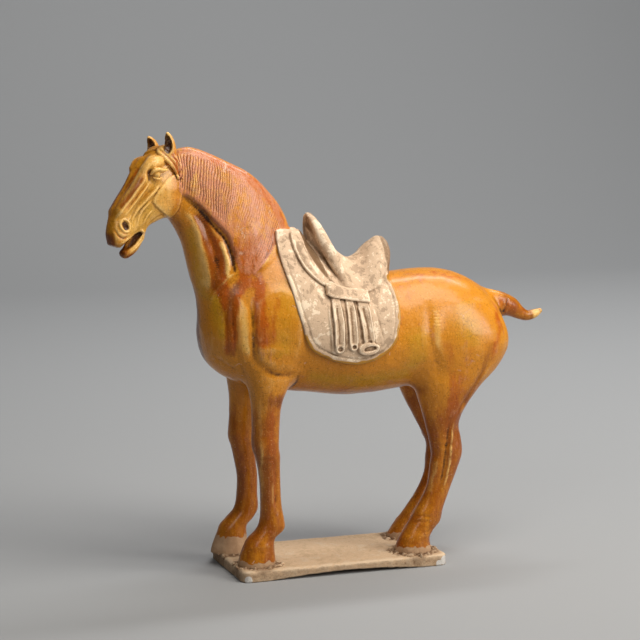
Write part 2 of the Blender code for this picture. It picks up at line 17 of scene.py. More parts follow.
import bpy
import numpy as np
import openvdb as vdb
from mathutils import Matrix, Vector


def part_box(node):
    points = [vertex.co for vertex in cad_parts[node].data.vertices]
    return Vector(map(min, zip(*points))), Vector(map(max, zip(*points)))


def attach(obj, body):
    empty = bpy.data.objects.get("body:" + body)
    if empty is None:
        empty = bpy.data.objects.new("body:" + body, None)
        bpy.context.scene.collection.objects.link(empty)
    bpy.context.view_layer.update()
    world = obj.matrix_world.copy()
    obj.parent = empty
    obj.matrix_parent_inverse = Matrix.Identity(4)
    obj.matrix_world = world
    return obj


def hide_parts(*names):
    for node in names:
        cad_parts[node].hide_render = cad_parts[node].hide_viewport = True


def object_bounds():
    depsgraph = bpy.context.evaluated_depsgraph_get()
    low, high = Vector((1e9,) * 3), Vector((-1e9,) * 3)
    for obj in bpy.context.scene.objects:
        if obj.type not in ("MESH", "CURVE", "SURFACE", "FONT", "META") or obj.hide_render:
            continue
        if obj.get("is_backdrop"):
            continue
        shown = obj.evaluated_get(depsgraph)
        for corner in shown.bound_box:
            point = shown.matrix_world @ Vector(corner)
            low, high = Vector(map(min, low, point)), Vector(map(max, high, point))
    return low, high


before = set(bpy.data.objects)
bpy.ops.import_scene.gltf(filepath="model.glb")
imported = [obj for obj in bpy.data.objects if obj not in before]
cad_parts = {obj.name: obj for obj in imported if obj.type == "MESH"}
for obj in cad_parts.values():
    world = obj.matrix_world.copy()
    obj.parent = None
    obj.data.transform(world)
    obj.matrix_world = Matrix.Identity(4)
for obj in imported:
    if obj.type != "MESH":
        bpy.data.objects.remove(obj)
CAD_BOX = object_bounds()

LOG = logging.getLogger("pottery_horse")
Rows = Sequence[Sequence[float]]
EAR_TIP_UNITS = 589.0
TRIANGLE_CAP = 196_000


class Side(Enum):
    """Sides of the horse, as the sign of y: the near side is the left one."""

    NEAR = -1
    FAR = 1


BOTH = (Side.NEAR, Side.FAR)
NEAR_ONLY = (Side.NEAR,)


class Plane(Enum):
    """The flat view in which a mark is drawn: of the whole body, or of the turned head."""

    BODY = "body"
    HEAD = "head"


@dataclass(frozen=True)
class DesignGrid:
    """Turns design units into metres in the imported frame."""

    origin: tuple[float, float, float]
    unit: float

    @classmethod
    def from_frame(cls) -> DesignGrid:
        """Read the grid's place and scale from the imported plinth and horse.

        Returns:
            The grid whose height 0 is the top of the plinth.
        """
        slab_low, slab_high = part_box("plinth")
        _, horse_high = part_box("horse")
        top = slab_high[2]
        unit = (horse_high[2] - top) / EAR_TIP_UNITS
        middle = [(slab_low[k] + slab_high[k]) / 2 for k in range(2)]
        return cls((middle[0], middle[1], top), unit)

    def metres(self, points: np.ndarray) -> np.ndarray:
        """Design units times the scale, plus the origin.

        Args:
            points: Rows of x, y, z in design units.

        Returns:
            The same points in metres.
        """
        return np.asarray(points, float) * self.unit + np.array(self.origin)


@dataclass(frozen=True)
class HeadFrame:
    """The turned head's own axes: forward from the poll, to the left, and up."""

    poll: tuple[float, float] = (-239.0, -6.0)
    yaw: float = math.radians(20.0)

    def point(self, forward: np.ndarray, left: np.ndarray, up: np.ndarray) -> np.ndarray:
        """Poll plus forward and left distances turned by the yaw.

        Args:
            forward: Distances ahead of the poll.
            left: Distances to the horse's left.
            up: Heights.

        Returns:
            Points with x, y, z last.
        """
        c, s = math.cos(self.yaw), math.sin(self.yaw)
        x = self.poll[0] - c * forward + s * left
        y = self.poll[1] - s * forward - c * left
        return np.stack(np.broadcast_arrays(x, y, up), axis=-1)

    def coordinates(self, points: np.ndarray) -> tuple[np.ndarray, np.ndarray, np.ndarray]:
        """The inverse of point.

        Args:
            points: Rows of x, y, z.

        Returns:
            Forward, left and up of each row.
        """
        c, s = math.cos(self.yaw), math.sin(self.yaw)
        x = points[..., 0] - self.poll[0]
        y = points[..., 1] - self.poll[1]
        return -c * x - s * y, s * x - c * y, points[..., 2]

    def left(self) -> np.ndarray:
        """The unit vector to the head's left."""
        return np.array([math.sin(self.yaw), -math.cos(self.yaw), 0.0])


HEAD = HeadFrame()


def smooth_rows(rows: Rows, step: float, keys: int = 3, closed: bool = False) -> np.ndarray:
    """Catmull-Rom curve through rows, each span cut evenly.

    Args:
        rows: Rows of numbers; the first ones are a place.
        step: Wanted distance between samples.
        keys: How many leading numbers measure the distance.
        closed: Whether the last row joins the first.

    Returns:
        Samples as rows of the same length.
    """
    p = np.asarray(rows, float)
    if closed:
        p = np.vstack([p[-1], p, p[0], p[1]])
    else:
        p = np.vstack([2 * p[0] - p[1], p, 2 * p[-1] - p[-2]])
    out = [] if closed else [p[1:2]]
    for i in range(1, len(p) - 2):
        a, b, c, d = p[i - 1], p[i], p[i + 1], p[i + 2]
        count = max(1, round(float(np.linalg.norm((c - b)[:keys])) / step))
        t = (np.arange(1, count + 1) / count)[:, None]
        out.append(0.5 * (2 * b + (c - a) * t + (2 * a - 5 * b + 4 * c - d) * t**2
                          + (3 * b - a - 3 * c + d) * t**3))
    return np.vstack(out)


def full_turn(count: int) -> np.ndarray:
    """Even angles round a circle."""
    return np.linspace(0, 2 * math.pi, count, endpoint=False)


def soft_min(a: np.ndarray, b: np.ndarray, blend: float) -> np.ndarray:
    """Smaller of two distances, less a quadratic fillet where they differ by less than blend.

    Args:
        a: First distances.
        b: Second distances.
        blend: Reach of the fillet.

    Returns:
        The blended distances.
    """
    if blend <= 0:
        return np.minimum(a, b)
    near = np.maximum(blend - np.abs(a - b), 0.0) / blend
    return np.minimum(a, b) - near * near * (blend * 0.25)


def soft_max(a: np.ndarray, b: np.ndarray, blend: float) -> np.ndarray:
    """Larger of two distances with a fillet: soft_min with the signs turned.

    Args:
        a: First distances.
        b: Second distances.
        blend: Reach of the fillet.

    Returns:
        The blended distances.
    """
    return -soft_min(-a, -b, blend)


def smooth_step(low: float, high: float, value: np.ndarray) -> np.ndarray:
    """Ease from 0 at low to 1 at high by 3t^2 - 2t^3.

    Args:
        low: Where the step starts.
        high: Where it ends.
        value: Numbers to ease.

    Returns:
        Numbers from 0 to 1.
    """
    t = np.clip((value - low) / (high - low), 0.0, 1.0)
    return t * t * (3 - 2 * t)


def outline_distance(outline: np.ndarray, x: np.ndarray, z: np.ndarray) -> np.ndarray:
    """Signed distance in a flat view to a closed outline, negative inside.

    Args:
        outline: Rows of the outline's corners.
        x: First coordinate of the points.
        z: Second coordinate of the points.

    Returns:
        Distances of the points.
    """
    x, z = np.broadcast_arrays(x, z)
    best = np.full(x.shape, np.inf)
    inside = np.zeros(x.shape, bool)
    for (ax, az), (bx, bz) in zip(outline, np.roll(outline, -1, axis=0)):
        dx, dz = bx - ax, bz - az
        t = np.clip(((x - ax) * dx + (z - az) * dz) / (dx * dx + dz * dz), 0.0, 1.0)
        best = np.minimum(best, (x - ax - t * dx) ** 2 + (z - az - t * dz) ** 2)
        if bz != az:
            inside ^= ((az > z) != (bz > z)) & (x < dx * (z - az) / dz + ax)
    best = np.sqrt(best)
    return np.where(inside, -best, best)


def nearness(points: np.ndarray, rows: Rows, soft: float = 1.0) -> np.ndarray:
    """How deep each point lies inside balls, with a soft edge.

    Args:
        points: Points in design units.
        rows: Centre and radius of each ball.
        soft: Depth of the edge.

    Returns:
        From 0 outside to 1 inside.
    """
    depth = np.zeros(len(points))
    table = np.array(rows, float)
    reach = table[:, 3].max() + 3.0 * soft
    low, high = table[:, :3].min(axis=0) - reach, table[:, :3].max(axis=0) + reach
    ids = np.nonzero(((points > low) & (points < high)).all(axis=1))[0]
    for x, y, z, r in table:
        away = np.linalg.norm(points[ids] - (x, y, z), axis=1)
        depth[ids] = np.maximum(depth[ids], smooth_step(r + 1.6 * soft, r - soft, away))
    return depth


def lattice_noise(points: np.ndarray, scale: float, seed: int) -> np.ndarray:
    """Value noise: random numbers on a cubic lattice, eased between its corners.

    Args:
        points: Rows of x, y, z.
        scale: Side of a lattice cell.
        seed: Which pattern.

    Returns:
        Numbers from -1 to 1.
    """
    p = points / scale + seed * 17.31
    cell = np.floor(p).astype(np.int64)
    t = p - cell
    t = t * t * (3 - 2 * t)
    out = np.zeros(len(p))
    for corner in range(8):
        bits = np.array([corner & 1, corner >> 1 & 1, corner >> 2 & 1])
        c = cell + bits
        h = (c[:, 0] * 73856093) ^ (c[:, 1] * 19349663) ^ (c[:, 2] * 83492791) ^ (seed * 2654435761)
        h = (h ^ (h >> 13)) * 1274126177 & 0x7FFFFFFF
        value = (h ^ (h >> 16)) % 65521 / 32760.5 - 1.0
        out += value * np.prod(np.where(bits, t, 1 - t), axis=1)
    return out


Window = tuple[slice, slice, slice]


def show(name: str, data: bpy.types.ID) -> bpy.types.Object:
    """Make an object of a mesh, light or camera and put it in the scene."""
    obj = bpy.data.objects.new(name, data)
    bpy.context.collection.objects.link(obj)
    return obj


@dataclass
class Form:
    """A closed loft: rings of points bridged in order, with a fan at each end."""

    rings: np.ndarray

    def mesh(self) -> tuple[np.ndarray, np.ndarray, np.ndarray]:
        """Bridge the rings with quads and close the ends on their middle points.

        Returns:
            Points, quads and triangles.
        """
        count, sides, _ = self.rings.shape
        ends = np.stack([self.rings[0].mean(axis=0), self.rings[-1].mean(axis=0)])
        points = np.vstack([self.rings.reshape(-1, 3), ends])
        k = np.arange(sides)
        n = (k + 1) % sides
        start = np.arange(count - 1)[:, None] * sides
        quads = np.stack([start + k, start + n, start + sides + n, start + sides + k], axis=-1)
        first = np.stack([np.full(sides, count * sides), n, k], axis=1)
        last_ring = (count - 1) * sides
        last = np.stack([np.full(sides, count * sides + 1), last_ring + k, last_ring + n], axis=1)
        return points, quads.reshape(-1, 4), np.vstack([first, last])


def tube_form(rows: Rows, side: np.ndarray, sides: int = 40, step: float = 2.0) -> Form:
    """Ellipses carried along a path, each square to it, with rounded ends.

    Args:
        rows: Rows of x, y, z, half width along side, half width square to it.
        side: Direction that the first half width lies nearest to.
        sides: Points in a ring.
        step: Distance between rings.

    Returns:
        The loft.
    """
    path = smooth_rows(rows, step)
    centres = path[:, :3]
    tangent = np.gradient(centres, axis=0)
    tangent /= np.linalg.norm(tangent, axis=1)[:, None]
    across = side - (tangent @ side)[:, None] * tangent
    across /= np.linalg.norm(across, axis=1)[:, None]
    upright = np.cross(tangent, across)
    turn = full_turn(sides)
    rings = (centres[:, None, :]
             + (path[:, 3, None] * np.cos(turn))[..., None] * across[:, None, :]
             + (path[:, 4, None] * np.sin(turn))[..., None] * upright[:, None, :])
    caps = []
    for end, inward in ((0, 1), (-1, -1)):
        reach = min(path[end, 3], path[end, 4])
        shares = np.linspace(0, 1, 7)[1:-1] * math.pi / 2
        shrunk = centres[end] + (rings[end] - centres[end])[None] * np.cos(shares)[:, None, None]
        moved = shrunk - inward * tangent[end] * (reach * np.sin(shares))[:, None, None]
        caps.append(moved)
    return Form(np.concatenate([caps[0][::-1], rings, caps[1]]))


class ClayField:
    """Signed distances on a regular grid, to which forms are added and from which they are cut."""

    def __init__(self, low: tuple[float, ...], high: tuple[float, ...], cell: float,
                 reach: float = 16.0) -> None:
        """Start with empty space.

        Args:
            low: Lowest corner, in design units.
            high: Highest corner.
            cell: Side of a grid cell.
            reach: Largest distance that is kept.
        """
        self.cell = cell
        self.reach = reach
        self.low = np.floor(np.array(low) / cell).astype(int)
        self.shape = tuple(np.ceil(np.array(high) / cell).astype(int) - self.low + 1)
        self.values = np.full(self.shape, reach, np.float32)

    def window(self, low: np.ndarray, high: np.ndarray) -> Window:
        """The part of the grid between two corners.

        Args:
            low: Lowest corner, in design units.
            high: Highest corner.

        Returns:
            A slice for each axis.
        """
        start = np.maximum(np.floor(np.asarray(low) / self.cell).astype(int) - self.low, 0)
        stop = np.minimum(np.ceil(np.asarray(high) / self.cell).astype(int) - self.low + 1, self.shape)
        return tuple(slice(int(a), int(max(a, b))) for a, b in zip(start, stop))

    def axes(self, window: Window) -> list[np.ndarray]:
        """The coordinates of a window's grid lines, shaped to broadcast.

        Args:
            window: A slice for each axis.

        Returns:
            Three arrays, for x, y and z.
        """
        lines = []
        for k, part in enumerate(window):
            shape = [1, 1, 1]
            shape[k] = part.stop - part.start
            lines.append(((np.arange(part.start, part.stop) + self.low[k]) * self.cell).reshape(shape))
        return lines

    def measure(self, form: Form) -> tuple[Window, np.ndarray]:
        """Distances to a form in a window that holds it.

        Args:
            form: The loft to measure.

        Returns:
            The window and its distances.
        """
        points, quads, triangles = form.mesh()
        grid = vdb.FloatGrid.createLevelSetFromPolygons(
            np.ascontiguousarray(points / self.cell, np.float32), triangles=triangles.astype(np.uint32),
            quads=quads.astype(np.uint32), halfWidth=self.reach / self.cell)
        window = self.window(points.min(axis=0) - self.reach, points.max(axis=0) + self.reach)
        start = self.low + [part.start for part in window]
        held = np.empty([part.stop - part.start for part in window], np.float32)
        grid.copyToArray(held, ijk=tuple(int(v) for v in start))
        return window, held * np.float32(self.cell)

    def add(self, form: Form, blend: float) -> None:
        """Join a form to the clay, with a fillet as wide as blend."""
        self.join(*self.measure(form), blend)

    def join(self, window: Window, other: np.ndarray, blend: float) -> None:
        """Join measured distances to the clay inside a window.

        Args:
            window: A slice for each axis.
            other: Distances of the thing that is added.
            blend: Reach of the fillet at the join.
        """
        own = self.values[window]
        felt = other < self.reach * 0.98
        self.values[window] = np.where(felt, soft_min(own, other, blend), own)

    def cut(self, form: Form, blend: float) -> None:
        """Take a form out of the clay.

        Args:
            form: The loft to cut away.
            blend: Reach of the rounding along the cut's edge.
        """
        window, other = self.measure(form)
        own = self.values[window]
        felt = other < self.reach * 0.98
        self.values[window] = np.where(felt, soft_max(own, -other, blend), own)

    def skin(self) -> Skin:
        """Turn the zero surface into triangles, each quad cut along its shorter diagonal.

        Returns:
            The skin, in design units, with its faces turned outwards.
        """
        grid = vdb.FloatGrid(self.reach)
        grid.copyFromArray(np.clip(self.values, -self.reach, self.reach), ijk=(0, 0, 0))
        points, quads = grid.convertToQuads(0.0)
        points = (np.asarray(points, float) + self.low) * self.cell
        quads = np.asarray(quads, np.int64)
        a, b, c, d = (points[quads[:, k]] for k in range(4))
        if np.einsum("ij,ij->", np.cross(c - a, d - b), (a + b + c + d) / 4) < 0:
            quads = quads[:, ::-1]
            b, d = d, b
        short = np.linalg.norm(a - c, axis=1) <= np.linalg.norm(b - d, axis=1)
        first = np.where(short[:, None], quads[:, [0, 1, 2]], quads[:, [0, 1, 3]])
        second = np.where(short[:, None], quads[:, [0, 2, 3]], quads[:, [1, 2, 3]])
        return Skin(points, np.vstack([first, second]))


@dataclass(frozen=True)
class Mark:
    """A ridge or a groove drawn in a flat view: distance to its path gives a rounded profile."""

    path: Rows
    width: float
    rise: float
    fade: float = 0.25
    plane: Plane = Plane.BODY
    sides: tuple[Side, ...] = BOTH

    def line(self) -> np.ndarray:
        """The path as close points."""
        return smooth_rows(self.path, max(0.8, self.width * 0.5), keys=2)[:, :2]

    def bounds(self) -> tuple[np.ndarray, np.ndarray]:
        """Corners of the part of the view that the mark reaches."""
        path, reach = self.line(), self.width * 2.4
        return path.min(axis=0) - reach, path.max(axis=0) + reach

    def profile(self, a: np.ndarray, b: np.ndarray) -> np.ndarray:
        """A bell of the distance to the path, which fades at the path's ends.

        Args:
            a: First coordinates.
            b: Second coordinates.

        Returns:
            Numbers from 0 to 1.
        """
        path = self.line()
        share = np.linspace(0, 1, len(path))
        fade = np.minimum(1.0, np.minimum(share, 1 - share) / max(self.fade, 1e-3))
        out = np.zeros(len(a))
        for part in np.array_split(np.arange(len(a)), len(a) * len(path) // 4_000_000 + 1):
            gap = (a[part, None] - path[:, 0]) ** 2 + (b[part, None] - path[:, 1]) ** 2
            nearest = gap.argmin(axis=1)
            out[part] = np.exp(-gap[np.arange(len(part)), nearest] / self.width**2) * fade[nearest]
        return out


@dataclass(frozen=True)
class Pad:
    """A region raised or sunk by an even amount, with a soft edge."""

    outline: Rows
    edge: float
    rise: float
    plane: Plane = Plane.BODY
    sides: tuple[Side, ...] = BOTH

    def line(self) -> np.ndarray:
        """The outline as close points."""
        return smooth_rows(self.outline, 3.0, keys=2, closed=True)

    def bounds(self) -> tuple[np.ndarray, np.ndarray]:
        """Corners of the part of the view that the pad reaches."""
        outline = self.line()
        return outline.min(axis=0) - self.edge, outline.max(axis=0) + self.edge

    def profile(self, a: np.ndarray, b: np.ndarray) -> np.ndarray:
        """An eased step across the outline, from 0 outside to 1 inside."""
        return smooth_step(self.edge / 2, -self.edge / 2, outline_distance(self.line(), a, b))


# Carving of the head: forward from the poll and up
HEAD_CARVING: list[Mark | Pad] = [replace(mark, plane=Plane.HEAD) for mark in (
    Pad([(12, 526), (2, 533), (-8, 534), (-13, 515), (-11, 495), (-8, 486), (-3, 479), (8, 483),
         (19, 490), (29, 500), (26, 509), (20, 517)], 3.0, 1.6),
    Mark([(40, 534), (47, 524), (57, 511), (68, 498), (77, 486), (83, 474)], 1.7, 1.9),
    Mark([(33, 528), (43, 516), (54, 503), (64, 491), (70, 484)], 1.6, 2.2),
    Mark([(19, 524), (27, 515), (37, 505), (49, 493), (57, 482), (60, 474), (58, 466)],
         1.6, 2.2),
    Mark([(32, 502), (42, 492), (49, 480), (51, 469)], 1.5, 1.9),
    Mark([(29, 491), (37, 481), (42, 470)], 1.5, 1.6),
    Mark([(37, 527), (49, 513), (60, 499), (68, 489)], 2.6, -0.6),
    Mark([(27, 522), (40, 510), (52, 497), (62, 482)], 2.6, -0.7),
    Mark([(13, 541), (7, 546), (1, 546)], 1.5, 0.9, 0.2),
    Mark([(67, 479), (72, 479.5), (76, 475), (75.5, 469), (71, 464), (66, 463.5), (63.5, 467), (64, 474),
          (67, 479)], 1.6, 1.5, 0.01),
    Mark([(83, 470), (81, 461), (74, 455), (64, 457)], 1.4, -1.0),
    Mark([(79, 463), (72, 459), (64, 460)], 1.3, 0.5),
    Mark([(85, 450), (76, 448), (66, 453), (54, 459), (44, 464), (39, 461), (39, 454), (45, 447)],
         1.7, 1.1),
    Mark([(34, 468), (26, 476), (15, 482), (4, 478)], 1.6, -0.9),
    Mark([(60, 434), (50, 441), (40, 450), (30, 460)], 1.3, 0.8),
)]

# Carving of the body: x and height
BODY_CARVING: list[Mark | Pad] = [
    # Edge of the throat, the recess behind it and the bright strip before the mane
    Mark([(-214, 488), (-204, 477), (-196, 461), (-191, 441), (-185, 420), (-181, 393), (-181, 366)],
         4.6, 1.7),
    Mark([(-206, 492), (-190, 474), (-180, 450), (-172, 420), (-170, 394)], 6.0, -4.2),
    Mark([(-166, 446), (-159, 420), (-158, 396)], 3.4, 1.8, sides=NEAR_ONLY),
    Mark([(-218, 508), (-206, 497), (-193, 487), (-176, 466), (-162, 449), (-155, 433), (-150, 412),
          (-146, 396)], 3.2, -1.8, sides=NEAR_ONLY),
    Mark([(-118, 404), (-100, 421), (-84, 438), (-66, 449)], 3.4, 0.9, sides=NEAR_ONLY),
    # Front of the shoulder and the folds of the breast
    Mark([(-142, 406), (-158, 396), (-172, 381), (-178, 366), (-180, 349)], 3.0, 1.4),
    Pad([(-148, 372), (-151, 350), (-152, 329), (-148, 301), (-141, 283), (-135, 292), (-135, 322),
         (-137, 355)], 8.0, 1.1),
    Mark([(-131, 372), (-132, 340), (-131, 305), (-125, 282), (-112, 271)], 5.0, -1.3),
    Mark([(-155, 368), (-157, 340), (-155, 305), (-147, 281)], 3.4, -1.5),
    Mark([(-118, 276), (-108, 270), (-94, 265), (-78, 264), (-67, 265)], 5.0, -1.7),
    Mark([(-67, 268), (-64, 252), (-68, 238)], 4.5, -1.4),
    Pad([(-126, 366), (-131, 330), (-127, 298), (-116, 282), (-94, 274), (-76, 276), (-66, 300),
         (-64, 340), (-72, 372), (-98, 384)], 14.0, 2.2),
    Mark([(-179, 291), (-162, 279), (-145, 268)], 2.6, -1.4),
    # Forearm, knee and cannon
    Mark([(-149, 287), (-137, 262), (-129, 238), (-127, 214)], 2.6, -1.3),
    Mark([(-96, 246), (-97, 222), (-99, 198)], 4.5, -0.9),
    Mark([(-120, 176), (-112, 181), (-100, 179), (-92, 172)], 3.4, -0.5),
    Mark([(-117, 152), (-108, 148), (-96, 150)], 3.4, -0.6),
    Mark([(-98, 148), (-95, 120), (-95, 92), (-94, 70)], 3.6, -1.7),
    Mark([(-117, 176), (-115, 133), (-114, 91)], 3.0, 0.9),
    # Flank, hip, thigh and hock
    Mark([(123, 357), (121, 331), (123, 300), (134, 270), (137, 240)], 7.5, -1.7),
    Mark([(132, 345), (130, 312), (131, 290), (143, 262)], 8.0, 1.2),
    Mark([(222, 270), (210, 253), (198, 240), (184, 213), (171, 193), (163, 172)], 3.4, 0.9),
    Mark([(212, 266), (198, 246), (184, 222), (170, 200), (161, 186)], 3.4, -1.1),
    Mark([(168, 206), (163, 179), (161, 158), (158, 122), (152, 94), (146, 73)], 3.0, 1.2),
    Mark([(158, 190), (154, 160), (150, 122), (145, 94), (139, 73)], 3.8, -1.7),
    Mark([(133, 160), (142, 150), (158, 152), (170, 148)], 3.6, -0.6),
    Mark([(144, 140), (140, 118), (135, 100), (131, 84)], 3.0, 1.0),
    Mark([(111, 228), (118, 203), (128, 179)], 3.0, 0.6),
    # Coronets and the wrinkled pasterns
    Mark([(-141, 22), (-128, 28), (-112, 29), (-98, 26)], 3.0, 0.6),
    Mark([(-138, 36), (-124, 40), (-108, 40)], 2.0, -0.6),
    Mark([(90, 18), (104, 24), (120, 25), (134, 22)], 3.0, 0.6),
    Mark([(104, 42), (116, 45), (130, 44)], 1.8, -0.7),
    Mark([(107, 50), (119, 52), (133, 50)], 1.8, -0.7),
    # Binding of the tail
    Mark([(266, 346), (263, 338), (258, 326)], 2.4, -0.9, 0.1),
]

# Where the glaze ran in other shades, and where shade and highlights are painted: x and height, or forward
# and up on the head
GLAZE_WASHES: dict[str, list[Mark | Pad]] = {
    "rust": [
        Mark([(12, 567), (4, 561), (-6, 551), (-12, 536)], 6, 0.9, 0.1, Plane.HEAD),
        Mark([(34, 547), (46, 530), (60, 511), (74, 493)], 7, 0.55, 0.1, Plane.HEAD),
        Mark([(80, 470), (78, 458), (66, 455)], 7, 0.5, 0.1, Plane.HEAD),
        Mark([(-200, 482), (-186, 462), (-176, 430), (-172, 395), (-166, 370)], 9, 0.9, 0.1),
        Mark([(-136, 420), (-138, 395), (-150, 370), (-158, 330), (-158, 290)], 7, 0.9, 0.1),
        Mark([(-120, 400), (-122, 350), (-121, 300)], 8, 0.8, 0.1),
        Mark([(-207, 563), (-180, 555), (-146, 540), (-113, 522), (-86, 492), (-68, 458)], 5, 0.9, 0.05),
        Mark([(135, 330), (150, 270), (160, 210), (155, 160)], 10, 0.4, 0.2),
        Mark([(90, 390), (150, 388), (200, 380), (235, 360)], 8, 0.35, 0.2),
        Mark([(232, 350), (228, 310), (212, 265)], 7, 0.5, 0.2),
        Mark([(-100, 240), (-104, 180), (-100, 120), (-98, 70)], 7, 0.4, 0.2),
        Mark([(-176, 452), (-168, 420), (-166, 388), (-160, 350)], 6, 0.9, 0.1),
        Mark([(-96, 380), (-104, 340), (-106, 300)], 5, 0.5, 0.2),
        Mark([(248, 345), (276, 334), (300, 322)], 10, 0.6, 0.1),
    ],
    "olive": [
        Mark([(100, 330), (104, 290), (98, 260)], 22, 0.6, 0.2),
        Mark([(170, 360), (180, 320), (186, 285)], 24, 0.5, 0.2),
        Mark([(-206, 470), (-198, 440), (-192, 400), (-188, 360)], 9, 0.7, 0.1),
        Mark([(-144, 350), (-143, 320), (-140, 295)], 7, 0.5, 0.1),
        Mark([(-84, 400), (-88, 360), (-92, 320), (-90, 285)], 22, 0.5, 0.1),
        Mark([(-172, 376), (-170, 345), (-168, 310)], 9, 0.9, 0.1),
        Mark([(-60, 262), (0, 250), (60, 252), (110, 262)], 14, 0.6, 0.1),
        Mark([(30, 500), (52, 478), (64, 462)], 14, 0.5, 0.1, Plane.HEAD),
    ],
    "pale": [
        Mark([(306, 319), (314, 321), (321, 325)], 7, 0.8, 0.01),
        Mark([(-143, 376), (-144, 345), (-141, 312), (-136, 292)], 2.8, 0.42, 0.1),
        Mark([(-214, 488), (-204, 474), (-197, 455), (-191, 430), (-186, 400), (-183, 374)], 5, 0.8, 0.1),
        Mark([(-166, 446), (-159, 420), (-158, 396)], 3.4, 0.8, 0.1, sides=NEAR_ONLY),
        Mark([(-146, 362), (-147, 330), (-142, 292)], 6, 0.2, 0.1),
        # Painted highlight on the flank, down the thigh's front edge
        Mark([(132, 350), (130, 310), (134, 280)], 8, 0.3, 0.2),
        # Thin glaze down the legs' tendons, drawn as painted highlights
        Mark([(-117, 240), (-118, 190), (-115, 133), (-114, 80)], 4, 0.3, 0.1),
        Mark([(140, 130), (136, 100), (131, 80)], 4, 0.3, 0.1),
    ],
    "blush": [
        Mark([(120, 350), (122, 325), (126, 300)], 7, 0.3, 0.1),
    ],
    "steeped_and_shade": [
        Mark([(86, 464), (85, 452), (76, 446), (66, 449)], 5, 0.6, 0.1, Plane.HEAD),
        Mark([(63, 431), (56, 430), (48, 437)], 4, 0.5, 0.1, Plane.HEAD),
        Mark([(43, 537), (53, 522), (65, 507), (77, 491)], 3.4, 0.75, 0.1, Plane.HEAD),
        Mark([(37, 527), (49, 513), (60, 499)], 2.0, 0.5, 0.1, Plane.HEAD),
        Mark([(27, 521), (40, 509), (52, 496)], 2.0, 0.5, 0.1, Plane.HEAD),
        # Painted shadow below the mane's lower edge at the withers
        Mark([(-155, 440), (-146, 412), (-128, 405), (-108, 418)], 9, 0.55, 0.1, sides=NEAR_ONLY),
        Mark([(-204, 488), (-190, 466), (-181, 440), (-175, 405), (-171, 372)], 8, 0.8, 0.1),
        Mark([(-140, 396), (-154, 374), (-160, 345), (-160, 310), (-152, 284)], 4.5, 0.9, 0.1),
        Mark([(-124, 392), (-128, 350), (-128, 320), (-124, 292)], 6, 0.42, 0.1),
        Mark([(-118, 274), (-94, 266), (-70, 268)], 4, 0.4, 0.1),
        Mark([(-222, 478), (-214, 450), (-208, 415), (-200, 370)], 6, 0.6, 0.1),
        Mark([(-120, 232), (-60, 226), (20, 222), (90, 226), (130, 232)], 9, 0.6, 0.1),
        Mark([(214, 300), (206, 262), (190, 232), (176, 205)], 7, 0.4, 0.1),
    ],
    # Painted shade under the mane's lower edge, in the eye's pit, at the front of the mouth, between two
    # ridges of the face and along the forelock; a darker line down the chest and darker glaze in the tail's
    # binding
    "dark": [
        Mark([(-216, 508), (-206, 497), (-193, 487), (-176, 466)], 2.6, 0.35, 0.05, sides=NEAR_ONLY),
        Mark([(-166, 372), (-169, 340), (-168, 300)], 3, 0.3, 0.1),
        Mark([(266, 346), (263, 338), (258, 326)], 2.4, 0.35, 0.02),
        Mark([(-193, 487), (-176, 466), (-162, 449), (-155, 433), (-150, 412), (-146, 396)],
             3.0, 0.45, 0.1, sides=NEAR_ONLY),
        Mark([(35, 546), (35, 537), (34, 528)], 3.6, 0.45, 0.1, Plane.HEAD),
        Mark([(84, 446), (78, 444), (70, 446)], 2.2, 0.5, 0.1, Plane.HEAD),
        Mark([(36, 490), (40, 478), (41, 470)], 2.0, 0.25, 0.1, Plane.HEAD),
        Mark([(14, 559), (5, 561), (-4, 556), (-12, 546)], 1.4, 0.4, 0.1, Plane.HEAD),
    ],
}

# Carving of the saddle: x and height
SADDLE_CARVING: list[Mark | Pad] = [
    Mark([(-80, 425), (-76, 403), (-70, 378), (-65, 354), (-58, 331), (-52, 312), (-43, 302), (-30, 295),
          (-16, 289), (4, 284), (18, 283), (36, 287), (52, 297), (62, 309), (66, 322), (71, 346),
          (71, 372), (67, 398)], 1.7, -0.7, 0.05),
    Mark([(-61, 449), (-61, 430), (-56, 413), (-46, 399), (-32, 388)], 1.5, 1.1),
    Mark([(-46, 450), (-46, 430), (-43, 410), (-34, 396)], 1.5, 1.1),
    Mark([(52, 438), (64, 444), (75, 436), (79, 420), (72, 402), (56, 384)], 2.2, 1.0),
    Mark([(48, 430), (60, 436), (68, 428), (71, 414), (62, 398)], 2.6, -0.9),
    Mark([(-26, 366), (-27, 340), (-25, 312), (-22, 298)], 1.6, 0.9),
    Mark([(40, 356), (46, 330), (50, 300)], 1.6, -0.6),
]

# Earth and painted shade on the saddle, in and between the straps and along the cloth's lower front edge: x
# and height
SADDLE_SOIL_AND_SHADE: list[Mark | Pad] = [
    Mark([(-25, 360), (-26, 330), (-25, 296), (-12, 288)], 2.2, 0.6, 0.1),
    Mark([(-16, 356), (-16, 325), (-16, 304)], 2.0, 0.5, 0.1),
    Mark([(-6, 358), (-6, 325), (-6, 300)], 2.6, 0.45, 0.1),
    Mark([(4, 356), (4, 325), (4, 306)], 2.0, 0.5, 0.1),
    Mark([(13, 358), (15, 330), (17, 308)], 2.6, 0.45, 0.1),
    Mark([(23, 354), (26, 325), (28, 308)], 2.6, 0.5, 0.1),
    Mark([(-66, 318), (-58, 300), (-44, 288), (-26, 280)], 3.5, 0.45, 0.1),
]


